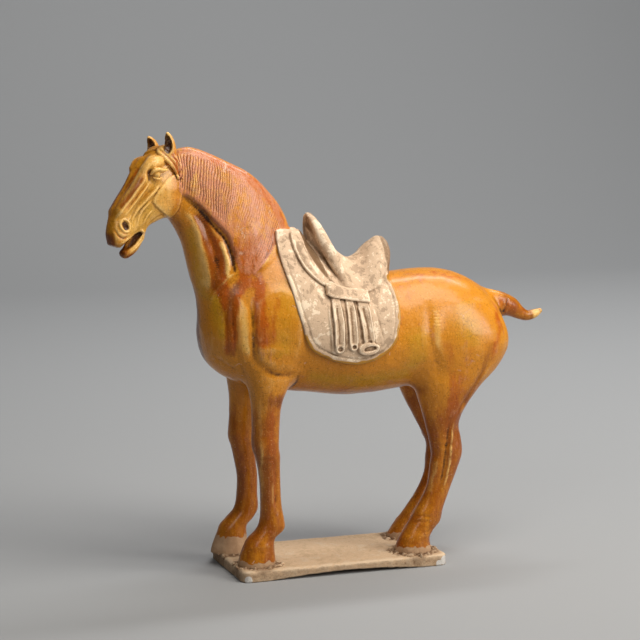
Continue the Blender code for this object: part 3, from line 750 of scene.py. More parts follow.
class Skin:
    """A mesh of triangles in design units, on which carving is pressed along its normals."""

    def __init__(self, points: np.ndarray, faces: np.ndarray) -> None:
        """Keep the points and faces.

        Args:
            points: Rows of x, y, z.
            faces: Rows of three point numbers.
        """
        self.points = points
        self.faces = faces
        self.tones: dict[str, np.ndarray] = {}

    def refine(self, chosen: np.ndarray) -> None:
        """Cut each face whose points are all chosen in four, and its neighbours to fit.

        Args:
            chosen: True for each point in the region to be made finer.
        """
        corners = self.faces
        split = chosen[corners].all(axis=1)
        edges = np.stack([corners, np.roll(corners, -1, axis=1)], axis=-1)
        low, high = edges.min(axis=-1), edges.max(axis=-1)
        keys = low * len(self.points) + high
        marked = np.unique(keys[split])
        number = np.searchsorted(marked, keys)
        number = np.minimum(number, len(marked) - 1)
        has = marked[number] == keys
        middle = np.where(has, number + len(self.points), -1)
        ends = np.stack([marked // len(self.points), marked % len(self.points)], axis=1)
        self.points = np.vstack([self.points, self.points[ends].mean(axis=1)])
        cuts = has.sum(axis=1)
        made = [corners[cuts == 0]]
        for k in range(3):
            order = [(k + j) % 3 for j in range(3)]
            a, b, c = (corners[:, j] for j in order)
            m, n, o = (middle[:, j] for j in order)
            held = [has[:, j] for j in order]
            one = (cuts == 1) & held[0]
            made += [np.stack([a, m, c], 1)[one], np.stack([m, b, c], 1)[one]]
            two = (cuts == 2) & ~held[2]
            made += [np.stack([m, b, n], 1)[two], np.stack([a, m, n], 1)[two], np.stack([a, n, c], 1)[two]]
        whole = cuts == 3
        a, b, c = (corners[whole, j] for j in range(3))
        m, n, o = (middle[whole, j] for j in range(3))
        made += [np.stack(t, 1) for t in ((a, m, o), (m, b, n), (o, n, c), (m, n, o))]
        self.faces = np.vstack(made)

    def spread(self, values: np.ndarray) -> np.ndarray:
        """Mean of a value over each point's neighbours along the faces' edges.

        Args:
            values: One number for each point.

        Returns:
            One mean for each point.
        """
        total = np.zeros(len(self.points))
        count = np.zeros(len(self.points))
        for k in range(3):
            here, there = self.faces[:, k], self.faces[:, (k + 1) % 3]
            total += np.bincount(here, values[there], len(total))
            count += np.bincount(here, minlength=len(total))
        return total / np.maximum(count, 1)

    def smoothed(self, passes: int) -> np.ndarray:
        """Points moved to their neighbours' mean a number of times.

        Args:
            passes: How many times.

        Returns:
            The moved points.
        """
        kept = self.points
        moved = self.points.copy()
        for _ in range(passes):
            self.points = moved
            moved = np.stack([self.spread(moved[:, k]) for k in range(3)], axis=1)
        self.points = kept
        return moved

    def normals(self) -> np.ndarray:
        """Unit normals: the cross products of the faces' edges, summed at each point.

        Returns:
            One unit vector for each point.
        """
        a, b, c = (self.points[self.faces[:, k]] for k in range(3))
        face = np.cross(b - a, c - a)
        total = np.zeros_like(self.points)
        for k in range(3):
            for axis in range(3):
                total[:, axis] += np.bincount(self.faces[:, k], face[:, axis], len(total))
        return total / np.maximum(np.linalg.norm(total, axis=1), 1e-9)[:, None]

    def flat_view(self, plane: Plane, normals: np.ndarray) -> tuple[np.ndarray, ...]:
        """Where each point lies in a flat view, and how squarely each side faces it.

        Args:
            plane: Which view.
            normals: Unit normals of the points.

        Returns:
            First and second coordinate, the side's place and the side's facing.
        """
        waver = 0.7 * lattice_noise(self.points, 11, 41), 0.7 * lattice_noise(self.points, 11, 42)
        if plane is Plane.HEAD:
            forward, left, up = HEAD.coordinates(self.points)
            return forward + waver[0] * 0.5, up + waver[1] * 0.5, -left, -(normals @ HEAD.left())
        return self.points[:, 0] + waver[0], self.points[:, 2] + waver[1], self.points[:, 1], normals[:, 1]

    def press(self, marks: list[Mark | Pad], normals: np.ndarray) -> np.ndarray:
        """Sum of the rises of many marks and pads at each point.

        Args:
            marks: The marks and pads.
            normals: Unit normals of the points.

        Returns:
            The rise of each point along its normal.
        """
        rise = np.zeros(len(self.points))
        views = {plane: self.flat_view(plane, normals) for plane in Plane}
        for mark in marks:
            a, b, place, facing = views[mark.plane]
            low, high = mark.bounds()
            held = (a > low[0]) & (a < high[0]) & (b > low[1]) & (b < high[1])
            for side in mark.sides:
                towards = facing * side.value
                ids = np.nonzero(held & (place * side.value > -4.0) & (towards > 0.05))[0]
                rise[ids] += mark.rise * mark.profile(a[ids], b[ids]) * np.clip(towards[ids] * 2.5, 0, 1)
        return rise

    def relief(self, passes: int) -> np.ndarray:
        """How far each point stands out of its smoothed surroundings, along its normal.

        Args:
            passes: Width of the surroundings, in passes of smoothing.

        Returns:
            Positive on ridges and negative in hollows, in design units.
        """
        return np.einsum("ij,ij->i", self.points - self.smoothed(passes), self.normals())

    def note_relief(self, fine: float, passes: int, broad: float, most: float = math.inf) -> None:
        """Set the tone "relief": 0.5 on even skin, more on ridges and less in hollows.

        Args:
            fine: Weight of the small relief.
            passes: Width of the broad relief's surroundings.
            broad: Weight of the broad relief.
            most: Largest broad relief that counts.
        """
        total = self.relief(3) * fine + np.minimum(self.relief(passes), most) * broad
        self.tones["relief"] = 0.5 + np.clip(total, -0.5, 0.5)

    def piece(self, name: str, grid: DesignGrid, cap: int = TRIANGLE_CAP) -> bpy.types.Object:
        """Make the finished object, thinned to a number of triangles, with its tones.

        Args:
            name: The object's name.
            grid: The design grid.
            cap: The most triangles.

        Returns:
            The object, at the origin, with its place in its mesh.
        """
        mesh = bpy.data.meshes.new(name)
        mesh.vertices.add(len(self.points))
        mesh.vertices.foreach_set("co", grid.metres(self.points).astype(np.float32).ravel())
        mesh.loops.add(self.faces.size)
        mesh.loops.foreach_set("vertex_index", self.faces.astype(np.int32).ravel())
        mesh.polygons.add(len(self.faces))
        mesh.polygons.foreach_set("loop_start", np.arange(0, self.faces.size, 3, dtype=np.int32))
        for tone, values in self.tones.items():
            layer = mesh.attributes.new(tone, "FLOAT", "POINT")
            layer.data.foreach_set("value", np.clip(values, 0, 1).astype(np.float32))
        mesh.update(calc_edges=True)
        obj = show(name, mesh)
        if len(self.faces) > cap:
            thin = obj.modifiers.new("thin", "DECIMATE")
            thin.ratio = cap / len(self.faces)
            thin.use_collapse_triangulate = True
            bpy.context.view_layer.update()
            evaluated = obj.evaluated_get(bpy.context.evaluated_depsgraph_get())
            thinned = bpy.data.meshes.new_from_object(evaluated, preserve_all_data_layers=True,
                                                      depsgraph=bpy.context.evaluated_depsgraph_get())
            obj.modifiers.clear()
            obj.data = thinned
            bpy.data.meshes.remove(mesh)
            thinned.name = name
        obj.data.shade_smooth()
        LOG.info("%s: %d points, %d faces", name, len(obj.data.vertices), len(obj.data.polygons))
        return obj


class Value:
    """One socket of a shader graph, with arithmetic that adds Math or Vector Math nodes."""

    def __init__(self, graph: Graph, socket: bpy.types.NodeSocket) -> None:
        """Keep the graph and the socket.

        Args:
            graph: The graph that owns the socket.
            socket: An output socket.
        """
        self.graph = graph
        self.socket = socket

    def math(self, operation: str, *others: Value | float) -> Value:
        """A Math node of this value and others."""
        return self.graph.node("Math", {"operation": operation}, [self, *others])

    def __add__(self, other: Value | float) -> Value:
        """Sum."""
        return self.math("ADD", other)

    __radd__ = __add__

    def __mul__(self, other: Value | float) -> Value:
        """Product."""
        return self.math("MULTIPLY", other)

    __rmul__ = __mul__

    def __sub__(self, other: Value | float) -> Value:
        """Difference."""
        return self.math("SUBTRACT", other)

    def __rsub__(self, other: float) -> Value:
        """A number less this value."""
        return self.graph.node("Math", {"operation": "SUBTRACT"}, [other, self])

    def sway(self, weight: float) -> Value:
        """A noise moved from about 0.5 to about 0, times a weight."""
        return (self - 0.5) * weight

    def step(self, low: float, high: float) -> Value:
        """Ease from 0 at low to 1 at high."""
        return self.graph.node("MapRange", {"interpolation_type": "SMOOTHSTEP"}, [self, low, high, 0.0, 1.0])


Colour = tuple[float, float, float]


def feed(tree: bpy.types.NodeTree, socket: bpy.types.NodeSocket, value: Value | float | tuple) -> None:
    """Link a value to an input socket, or set a plain number or colour on it."""
    if isinstance(value, Value):
        tree.links.new(value.socket, socket)
    else:
        socket.default_value = value


class Graph:
    """The node graph of one material."""

    def __init__(self, name: str) -> None:
        """Start a material with its Principled shader.

        Args:
            name: The material's name.
        """
        self.material = bpy.data.materials.new(name)
        self.material.use_nodes = True
        self.tree = self.material.node_tree
        self.shader = self.tree.nodes["Principled BSDF"]
        self.place = self.node("TexCoord", {}, [], "Object")

    def node(self, kind: str, settings: dict, inputs: list | dict, output: str | int = 0) -> Value:
        """Add a node, set it up, and feed its sockets.

        Args:
            kind: The node's type without its prefix.
            settings: The node's own properties.
            inputs: Values or links, in order or by socket name.
            output: Which output socket is wanted.

        Returns:
            The output socket.
        """
        prefix = "ShaderNode" if hasattr(bpy.types, "ShaderNode" + kind) else "ShaderNodeTex"
        made = self.tree.nodes.new(prefix + kind)
        for key, value in settings.items():
            setattr(made, key, value)
        pairs = inputs.items() if isinstance(inputs, dict) else enumerate(inputs)
        for key, value in pairs:
            feed(self.tree, made.inputs[key], value)
        return Value(self, made.outputs[output])

    def noise(self, scale: float, detail: float = 3.0, stretch: tuple[float, float, float] = (1, 1, 1),
              rough: float = 0.55, twist: float = 0.0) -> Value:
        """Fractal noise on Object coordinates, about 0.5 in the middle.

        Args:
            scale: Lumps to a metre.
            detail: Octaves.
            stretch: Factors on the three axes.
            rough: Share kept by each finer octave.
            twist: Distortion.

        Returns:
            The noise's factor.
        """
        where = self.node("Mapping", {}, {"Vector": self.place, "Scale": stretch})
        return self.node("Noise", {}, {"Vector": where, "Scale": scale, "Detail": detail,
                                       "Roughness": rough, "Distortion": twist})

    def cells(self, scale: float, feature: str = "F1", spread: float = 1.0) -> Value:
        """Distance to scattered points on Object coordinates.

        Args:
            scale: Points to a metre.
            feature: Which distance.
            spread: How unevenly the points lie.

        Returns:
            The distance.
        """
        return self.node("Voronoi", {"feature": feature}, {"Vector": self.place, "Scale": scale,
                                                            "Randomness": spread}, "Distance")

    def tone(self, name: str) -> Value:
        """A piece's own point attribute."""
        return self.node("Attribute", {"attribute_name": name}, [], "Fac")

    def relief(self) -> tuple[Value, Value]:
        """Depth of hollows and height of ridges, both from 0 to 1, by the tone "relief"."""
        relief = self.tone("relief")
        return (0.5 - relief).math("MAXIMUM", 0.0) * 2.0, (relief - 0.5).math("MAXIMUM", 0.0) * 2.0

    def blend(self, mask: Value | float, first: Value | Colour, second: Value | Colour,
              kind: str = "MIX") -> Value:
        """Mix of two colours by a mask.

        Args:
            mask: 0 for the first, 1 for the second.
            first: A colour.
            second: Another colour.
            kind: The way of mixing.

        Returns:
            The mixed colour.
        """
        ends = [c if isinstance(c, Value) else (*c, 1.0) for c in (first, second)]
        made = self.tree.nodes.new("ShaderNodeMix")
        made.data_type = "RGBA"
        made.blend_type = kind
        for socket, value in zip((made.inputs[0], made.inputs[6], made.inputs[7]), (mask, *ends)):
            feed(self.tree, socket, value)
        return Value(self, made.outputs[2])

    def bump(self, height: Value, strength: float, depth: float, below: Value | None = None) -> Value:
        """A Bump node.

        Args:
            height: The height.
            strength: Its share.
            depth: Metres that a height of 1 stands for.
            below: A normal to build on.

        Returns:
            The bent normal.
        """
        feeds: dict = {"Height": height, "Strength": strength, "Distance": depth}
        if below is not None:
            feeds["Normal"] = below
        return self.node("Bump", {}, feeds, "Normal")

    def finish(self, feeds: dict[str, Value | float]) -> bpy.types.Material:
        """Feed the shader's sockets.

        Args:
            feeds: Values or links by socket name.

        Returns:
            The material.
        """
        for key, value in feeds.items():
            feed(self.tree, self.shader.inputs[key], value)
        return self.material


@dataclass(frozen=True)
class AmberGlaze:
    """Lead glaze that has run down the figure: thin and pale on ridges, dark where it gathered; painted
    shade and highlights are laid into the same shades.
    """

    amber: Colour = (0.60, 0.225, 0.012)
    rust: Colour = (0.44, 0.092, 0.004)
    olive: Colour = (0.55, 0.265, 0.012)
    honey: Colour = (0.85, 0.515, 0.155)
    blush: Colour = (0.53, 0.20, 0.095)
    steeped_and_shade: Colour = (0.235, 0.058, 0.001)
    pooled_and_shade: Colour = (0.060, 0.017, 0.002)
    chip: Colour = (0.72, 0.46, 0.32)
    body: Colour = (0.40, 0.245, 0.14)
    slip: Colour = (0.50, 0.33, 0.20)
    coat: float = 0.60
    coat_roughness: float = 0.235
    glaze_roughness: float = 0.38
    bare_roughness: float = 0.80

    def material(self) -> bpy.types.Material:
        """Colours mixed by the tones of the skin and by noise drawn out downwards.

        Returns:
            The glaze.
        """
        g = Graph("amber_glaze")
        runs = g.noise(38, 5, (1.0, 1.0, 0.16), 0.68, 0.5)
        fine_runs = g.noise(150, 4, (1.0, 1.0, 0.14), 0.65)
        clouds = g.noise(13, 4, rough=0.6)
        mottle = g.noise(120, 4, rough=0.7)
        specks = g.noise(420, 3)
        hollow, ridge = g.relief()
        # The tones of the skin, each broken up by noise, lay one shade over another
        olive = g.tone("olive") * 1.1 + clouds.sway(1.1) + mottle.sway(0.7)
        rust = runs.sway(1.9) + mottle.sway(0.6) + g.tone("rust") * 1.2
        # The tone "steeped" holds thick dark glaze, and painted shade on the far breast and down the bridge
        # of the nose
        steeped_and_shade = g.tone("steeped_and_shade") + runs.sway(1.1) + mottle.sway(0.35) + g.noise(17, 3).sway(0.6)
        # Thin glaze on ridges, and painted highlights on the head, the flank and the legs through the tone
        # "pale"
        thin = ridge * 1.2 + g.tone("pale") + runs.sway(0.6) - g.tone("steeped_and_shade") * 0.45 + fine_runs.sway(0.7)
        blush = g.tone("blush") * 0.9 + mottle.sway(1.3) + fine_runs.sway(1.8) + runs.sway(1.5)
        # Dark glaze in hollows, and painted shade from the tone "dark"
        pooled_and_shade = hollow * 1.0 + g.tone("dark") + mottle.sway(0.45)
        colour: Value | Colour = self.amber
        for mask, shade in ((olive.step(0.1, 0.9), self.olive), (rust.step(0.08, 0.80), self.rust),
                            (steeped_and_shade.step(0.05, 0.95), self.steeped_and_shade), (thin.step(0.12, 1.15), self.honey),
                            (blush.step(0.15, 1.0), self.blush), (pooled_and_shade.step(0.12, 1.1), self.pooled_and_shade)):
            colour = g.blend(mask, colour, shade)
        worn = g.noise(55, 6, rough=0.8, twist=0.5)
        chips = (worn + g.tone("blush") * 0.05 + ridge * 0.04 - g.tone("steeped_and_shade") * 0.05).step(0.645, 0.675)
        colour = g.blend(chips * 0.6, colour, self.chip)
        craze = (0.045 - g.cells(190, "DISTANCE_TO_EDGE")).step(0.0, 0.035) * clouds.step(0.35, 0.65)
        colour = g.blend(craze * 0.35, colour, self.pooled_and_shade)
        bare = (g.tone("bare") + g.noise(90, 4).sway(0.5)).step(0.42, 0.58)
        clay = g.blend(g.noise(60, 4).step(0.4, 0.7), self.body, self.slip)
        colour = g.blend((specks - 0.60).step(0.0, 0.10) * 0.45, colour, self.pooled_and_shade)
        colour = g.blend((0.40 - specks).step(0.0, 0.10) * 0.25, colour, self.honey)
        colour = g.blend(bare, colour, clay)
        gloss = 1.0 - bare
        # Glazed parts vary a little in sheen, bare ones are dull
        glazed = self.glaze_roughness + clouds.sway(0.16) + mottle.sway(0.2) + chips * 0.3
        rough = gloss * glazed + bare * self.bare_roughness
        wobble = g.bump(g.noise(46, 3), 0.8, 0.0026)
        drawn = g.bump(fine_runs + mottle - chips * 0.3, 0.7, 0.0009, wobble)
        grain = g.bump(g.noise(700, 3) + g.cells(300), 0.16, 0.0005, drawn)
        return g.finish({"Base Color": colour, "Roughness": rough, "Coat Weight": gloss * self.coat,
                         "Coat Roughness": self.coat_roughness, "Coat IOR": 1.45, "IOR": 1.45,
                         "Specular IOR Level": 0.12, "Normal": grain})


@dataclass(frozen=True)
class BareClay:
    """Unglazed clay with remains of pale slip, rubbed patches and firing spots."""

    name: str = "saddle_clay"
    clay: Colour = (0.40, 0.275, 0.175)
    slip: Colour = (0.60, 0.425, 0.28)
    scuff: Colour = (0.86, 0.69, 0.50)
    soil_and_shade: Colour = (0.17, 0.090, 0.038)
    glaze: Colour = (0.48, 0.22, 0.015)

    def material(self) -> bpy.types.Material:
        """Slip over clay in patches, earth in hollows, earth and painted shade by the tone "dark", scuffs on
        ridges, and touches of glaze.

        Returns:
            The clay.
        """
        g = Graph(self.name)
        patches = g.noise(34, 6, rough=0.72, twist=0.8)
        mottle = g.noise(95, 5, rough=0.65)
        fine = g.noise(520, 3)
        hollow, ridge = g.relief()
        worn = patches.sway(1.6) + mottle.sway(1.5) + ridge * 0.5 + g.tone("pale")
        slip = (worn + fine.sway(0.2)).step(-0.16, -0.06)
        flakes = (worn + fine.sway(0.3)).step(0.19, 0.23)
        colour = g.blend(slip, self.clay, self.slip)
        colour = g.blend(flakes * 0.85, colour, self.scuff)
        # Earth in hollows, and painted shade and earth where the tone "dark" is set
        colour = g.blend((hollow * 0.9 + mottle.sway(0.7) + fine.sway(0.4)
                          + g.tone("dark")).step(0.12, 1.0), colour, self.soil_and_shade)
        colour = g.blend((fine - 0.60).step(0.0, 0.12) * 0.3, colour, self.soil_and_shade)
        touched = (g.tone("glazed") + mottle.sway(0.6)).step(0.42, 0.62)
        colour = g.blend(touched, colour, self.glaze)
        rough = 0.86 - touched * 0.5
        lumps = g.bump(mottle + slip * 0.25 + flakes * 0.35, 0.55, 0.0009)
        grain = g.bump(fine + g.cells(650), 0.45, 0.0005, lumps)
        return g.finish({"Base Color": colour, "Roughness": rough, "Coat Weight": touched * 0.5,
                         "Coat Roughness": 0.15, "IOR": 1.45, "Normal": grain})


def ruled_share(rows: Rows, a: np.ndarray, b: np.ndarray) -> tuple[np.ndarray, np.ndarray]:
    """Which of a fan of straight lines passes through each point, and how far down it.

    Args:
        rows: Lines in a flat view: start a, start b, end a, end b.
        a: First coordinates of the points.
        b: Second coordinates of the points.

    Returns:
        Distance along the lines' starts, and share from start to end.
    """
    fan = smooth_rows(rows, 2.0, keys=2)
    start, end = fan[:, :2], fan[:, 2:]
    along = np.concatenate([[0.0], np.cumsum(np.linalg.norm(np.diff(start, axis=0), axis=1))])
    span = end - start
    length = np.linalg.norm(span, axis=1)
    side = ((a[:, None] - start[:, 0]) * span[:, 1] - (b[:, None] - start[:, 1]) * span[:, 0]) / length
    crossed = (side[:, :-1] * side[:, 1:]) <= 0
    k = np.where(crossed.any(axis=1), crossed.argmax(axis=1), np.abs(side[:, :-1]).argmin(axis=1))
    row = np.arange(len(a))
    first, second = side[row, k], side[row, k + 1]
    t = np.clip(first / np.where(first == second, 1.0, first - second), 0, 1)
    where = along[k] + t * (along[k + 1] - along[k])
    origin = start[k] + t[:, None] * (start[k + 1] - start[k])
    reach = span[k] + t[:, None] * (span[k + 1] - span[k])
    down = ((a - origin[:, 0]) * reach[:, 0] + (b - origin[:, 1]) * reach[:, 1]) / (reach**2).sum(axis=1)
    return where, down


@dataclass
class Trunk:
    """Barrel of the horse, from breast to buttock."""

    stations: Rows = (
        (-186, 330, 306, 14), (-180, 352, 284, 36), (-168, 382, 268, 52), (-148, 412, 254, 64),
        (-118, 438, 242, 72), (-84, 450, 236, 76), (-60, 446, 232, 77), (-36, 430, 229, 77),
        (-12, 410, 226, 78), (15, 394, 223, 78.5), (50, 388, 223, 79), (90, 391, 227, 79),
        (130, 394, 232, 78), (165, 392, 232, 76), (196, 383, 232, 71), (224, 366, 240, 62),
        (244, 344, 256, 48), (257, 318, 276, 26))
    egg: float = 0.10
    pinch: float = 0.30

    def form(self) -> Form:
        """Upright egg-shaped rings, fuller below, and narrower at the withers.

        Returns:
            The loft.
        """
        rows = smooth_rows([(x, 0, (t + b) / 2, (t - b) / 2, w) for x, t, b, w in self.stations], 3.0)
        turn = full_turn(96)
        x, z, half, width = (rows[:, k, None] for k in (0, 2, 3, 4))
        level = np.cos(turn)[None]
        ahead = smooth_step(30.0, -50.0, x)
        full = 1.0 - self.egg * level - self.pinch * ahead * np.maximum(level, 0.0) ** 2
        y = width * np.sin(turn) * full
        return Form(np.stack([np.broadcast_to(x, y.shape), y, z + half * level], axis=-1))


@dataclass
class Neck:
    """Arched neck, each section spanning from the throat to the crest."""

    stations: Rows = (
        (-40, 395, -172, 300, 56), (-48, 430, -182, 334, 50), (-60, 462, -190, 366, 43),
        (-84, 500, -199, 396, 37), (-113, 526, -205, 420, 32), (-146, 543, -210, 440, 29),
        (-180, 559, -218, 458, 27), (-206, 566, -228, 474, 25), (-226, 566, -238, 488, 22))

    def form(self) -> Form:
        """Rings that are thicker towards the throat.

        Returns:
            The loft.
        """
        rows = smooth_rows(self.stations, 4.0, keys=2)
        turn = full_turn(80)
        cx, cz, tx, tz, width = (rows[:, k, None] for k in range(5))
        share = (0.5 - 0.5 * np.cos(turn))[None]
        thick = width * np.sin(turn) * (0.72 + 0.56 * (1 - share))
        return Form(np.stack([tx + (cx - tx) * share, thick, tz + (cz - tz) * share], axis=-1))


@dataclass
class Head:
    """Skull, jaws, ears, eyes and forelock, in the turned head's own axes."""

    skull: Rows = (
        (2, 569, -26, 528, 20), (18, 563, -22, 510, 24), (29, 550, -14, 492, 26.5), (38, 535, -6, 480, 26),
        (49, 521, 12, 474, 22.5), (62, 507, 26, 468, 18), (73, 494, 38, 464, 16.5), (82, 480, 50, 459, 17),
        (86, 462, 62, 450, 16), (84, 446, 72, 441, 11))
    jaw: Rows = (
        (20, 492, 8, 13), (32, 477, 8, 12.5), (39, 461, 8.5, 12.5), (46, 448, 10, 12), (54, 438, 9, 11),
        (60, 433, 7, 9.5))
    brow: Rows = ((14, 18, 555, 4.5), (26, 20, 551, 5), (36, 17, 543, 4))
    face: Rows = (
        (24, 13, 551, 9), (33, 14, 542, 9.5), (41, 13, 530, 9), (50, 11, 516, 8.5), (60, 9, 503, 8),
        (70, 8, 491, 7))
    far_face: Rows = (
        (24, 10, 550, 7), (33, 10, 541, 7), (41, 9.5, 529, 7), (50, 8, 515, 7), (60, 7, 502, 7),
        (70, 7, 490, 6.5))
    locks: Sequence[Rows] = (
        ((6, 3, 569, 2.6), (12, 12, 565, 3.0), (10, 20, 559, 3.0), (3, 25, 551, 2.8), (-4, 26.5, 541, 2.4),
         (-9, 27, 530, 1.8)),
        ((3, 4, 571, 2.6), (8, 13, 568, 3.0), (5, 21, 562, 3.0), (-1, 26, 554, 2.8), (-8, 27, 543, 2.4),
         (-13, 27, 531, 1.8)),
        ((0, 6, 572, 2.6), (4, 15, 570, 2.8), (0, 22, 564, 2.8), (-6, 26.5, 555, 2.6), (-13, 27, 542, 1.8)))
    far_locks: Sequence[Rows] = (
        ((6, -2, 569, 2.6), (14, 7, 565, 3.0), (16, 14, 560, 2.8), (13, 19, 554, 2.4), (9, 22, 546, 1.8)),
        ((2, -1, 571, 2.6), (9, 8, 568, 3.0), (10, 16, 563, 2.8), (6, 21, 556, 2.4), (2, 24, 548, 1.8)))
    ear_foot: tuple[float, float, float] = (-1.0, 19.0, 562.0)
    ear_tips: dict[Side, tuple[float, float, float]] = field(default_factory=lambda: {
        Side.NEAR: (5.0, 21.0, 590.0), Side.FAR: (6.0, 20.0, 583.0)})
    ear_width: float = 9.0
    eye: tuple[float, float, float] = (24.5, 22.4, 538.0)
    eye_radius: float = 6.0
    nostril: tuple[tuple[float, float, float], ...] = ((70.5, 18.0, 473.0), (68.8, 17.5, 469.5))
    nostril_radius: float = 3.9
    mouth: Rows = (
        (42, 9.5, 459, 3.0), (48, 9.5, 454.5, 4.4), (55, 9, 448.5, 5.2), (62, 8, 443.5, 5.0),
        (71, 6, 439.5, 4.6))
    lips: Rows = ((89, 452, 7), (86, 444, 6), (63, 434, 6), (56, 431, 6))
    lids: Sequence[Rows] = (
        ((33.5, 23, 537, 1.2), (30, 26, 542, 2.2), (24, 27.5, 544, 2.6), (17, 27.5, 542.5, 2.2),
         (9, 26.5, 542, 1.2)),
        ((30, 24.5, 532.5, 1.0), (24, 26.5, 531, 1.1), (17, 27, 533.5, 1.0)))
    pit: Rows = (
        (33.5, 25, 546, 1.8), (36, 23.5, 539, 3.2), (34, 22.5, 530, 2.0))

    def roll(self, table: np.ndarray, side: Side, size: np.ndarray, flat: float, sides: int,
             step: float) -> Form:
        """A roll along places of the head.

        Args:
            table: Rows of forward, left and up, written for the near side.
            side: Which side to put it on.
            size: Its half width at each place.
            flat: Ratio of its thickness to its width.
            sides: Points in a ring.
            step: Distance between rings.

        Returns:
            The loft.
        """
        points = HEAD.point(table[:, 0], -table[:, 1] * side.value, table[:, 2])
        return tube_form(np.column_stack([points, size * flat, size]).tolist(), HEAD.left(), sides, step)

    def cord(self, rows: Rows, side: Side) -> Form:
        """A round roll along rows of forward, left, up and radius."""
        table = np.array(rows, float)
        return self.roll(table, side, table[:, 3], 1.0, 28, 1.5)

    def skull_form(self) -> Form:
        """Boxy rings with rounded corners, square to the line of the face.

        Returns:
            The loft.
        """
        rows = smooth_rows(self.skull, 3.0, keys=2)
        turn = full_turn(72)
        tf, tz, bf, bz, width = (rows[:, k, None] for k in range(5))
        across = np.sign(np.sin(turn)) * np.abs(np.sin(turn)) ** 0.75
        share = (0.5 + 0.5 * np.sign(np.cos(turn)) * np.abs(np.cos(turn)) ** 0.75)[None]
        left = across * width * (0.86 + 0.18 * (1 - share))
        return Form(HEAD.point(bf + (tf - bf) * share, left, bz + (tz - bz) * share))

    def jaw_form(self) -> Form:
        """The lower jaw, parted from the upper one by the open mouth."""
        table = np.array(self.jaw, float)
        points = HEAD.point(table[:, 0], 0.0, table[:, 1])
        return tube_form(np.column_stack([points, table[:, 3], table[:, 2]]).tolist(), HEAD.left(), 48, 2.0)

    def ear_line(self, side: Side, shares: np.ndarray) -> np.ndarray:
        """Places on the straight line from an ear's foot to its tip."""
        foot, tip = np.array(self.ear_foot), np.array(self.ear_tips[side])
        return foot + shares[:, None] * (tip - foot)

    def ear_form(self, side: Side) -> Form:
        """A pricked ear, which narrows to its tip.

        Args:
            side: Which ear.

        Returns:
            The loft.
        """
        shares = np.linspace(0, 1, 9)
        table = self.ear_line(side, shares)
        table[:, 0] -= 2.0 * np.sin(shares * math.pi)
        size = self.ear_width * np.sqrt(1 - shares**1.6 * 0.93)
        return self.roll(table, side, size, 0.8, 32, 1.2)

    def ear_scoop(self, side: Side) -> tuple[np.ndarray, np.ndarray]:
        """Line of the scoop that opens the ear forwards and outwards.

        Args:
            side: Which ear.

        Returns:
            Places of the head and radii.
        """
        shares = np.array([0.16, 0.34, 0.54, 0.74, 0.90])
        table = self.ear_line(side, shares)
        table[:, 0] += 5.6 - 2.6 * shares
        table[:, 1] += 3.8 - 2.0 * shares if side is Side.NEAR else -3.2
        return table, np.array([3.4, 6.4, 6.6, 5.2, 2.6])

    def ear_hollow(self, side: Side) -> Form:
        """The loft to cut out of an ear."""
        table, size = self.ear_scoop(side)
        return self.roll(table, side, size, 0.8, 24, 1.2)

    def ball(self, centre: tuple[float, float, float], radius: float, side: Side) -> Form:
        """A ball at a place of the head.

        Args:
            centre: Forward, left and up.
            radius: Its radius.
            side: Which side.

        Returns:
            The loft.
        """
        f, left, up = centre
        turn = full_turn(32)
        fall = np.linspace(0.03, math.pi - 0.03, 20)[:, None]
        ring = np.stack([np.sin(fall) * np.cos(turn), np.sin(fall) * np.sin(turn),
                         np.cos(fall) * np.ones(32)], axis=-1) * radius
        return Form(HEAD.point(f, -left * side.value, up) + ring)

    def shade(self, points: np.ndarray) -> np.ndarray:
        """How deep each point lies in an ear, a nostril or the mouth, where painted shade goes.

        Args:
            points: Points in design units.

        Returns:
            From 0 outside to 1 inside.
        """
        depth = np.zeros(len(points))
        for side in Side:
            rows = [(*point, size) for point, size in zip(*self.ear_scoop(side))]
            mouth = smooth_rows(self.mouth, 1.5).tolist()
            rows += [(f, left - 1.0, up, self.nostril_radius + 0.3) for f, left, up in self.nostril]
            rows += mouth
            balls = [(*HEAD.point(f, -left * side.value, up), r) for f, left, up, r in rows]
            depth = np.maximum(depth, nearness(points, balls))
        return depth

    def lip_glaze(self, points: np.ndarray) -> np.ndarray:
        """How near each point lies to the lips, on which the glaze gathered thick: 0 to 1."""
        return nearness(points, [(*HEAD.point(f, 0.0, up), r) for f, up, r in self.lips], 3.5)

    def add_to(self, clay: ClayField) -> None:
        """Join the head to the clay and cut its hollows.

        Args:
            clay: The horse's field.
        """
        clay.add(self.skull_form(), 12.0)
        clay.add(self.jaw_form(), 5.0)
        for side in Side:
            clay.add(self.cord(self.face if side is Side.NEAR else self.far_face, side), 9.0)
            clay.add(self.cord(self.brow, side), 6.0)
            clay.cut(self.cord(self.pit, side), 4.0)
            clay.add(self.ball(self.eye, self.eye_radius, side), 1.4)
            for lid in self.lids:
                clay.add(self.cord(lid, side), 1.6)
            clay.cut(self.cord(self.mouth, side), 1.5)
            for centre in self.nostril:
                clay.cut(self.ball(centre, self.nostril_radius, side), 1.5)
            clay.add(self.ear_form(side), 4.0)
            clay.cut(self.ear_hollow(side), 1.2)
            for lock in self.locks if side is Side.NEAR else self.far_locks:
                clay.add(self.cord(lock, side), 0.3)


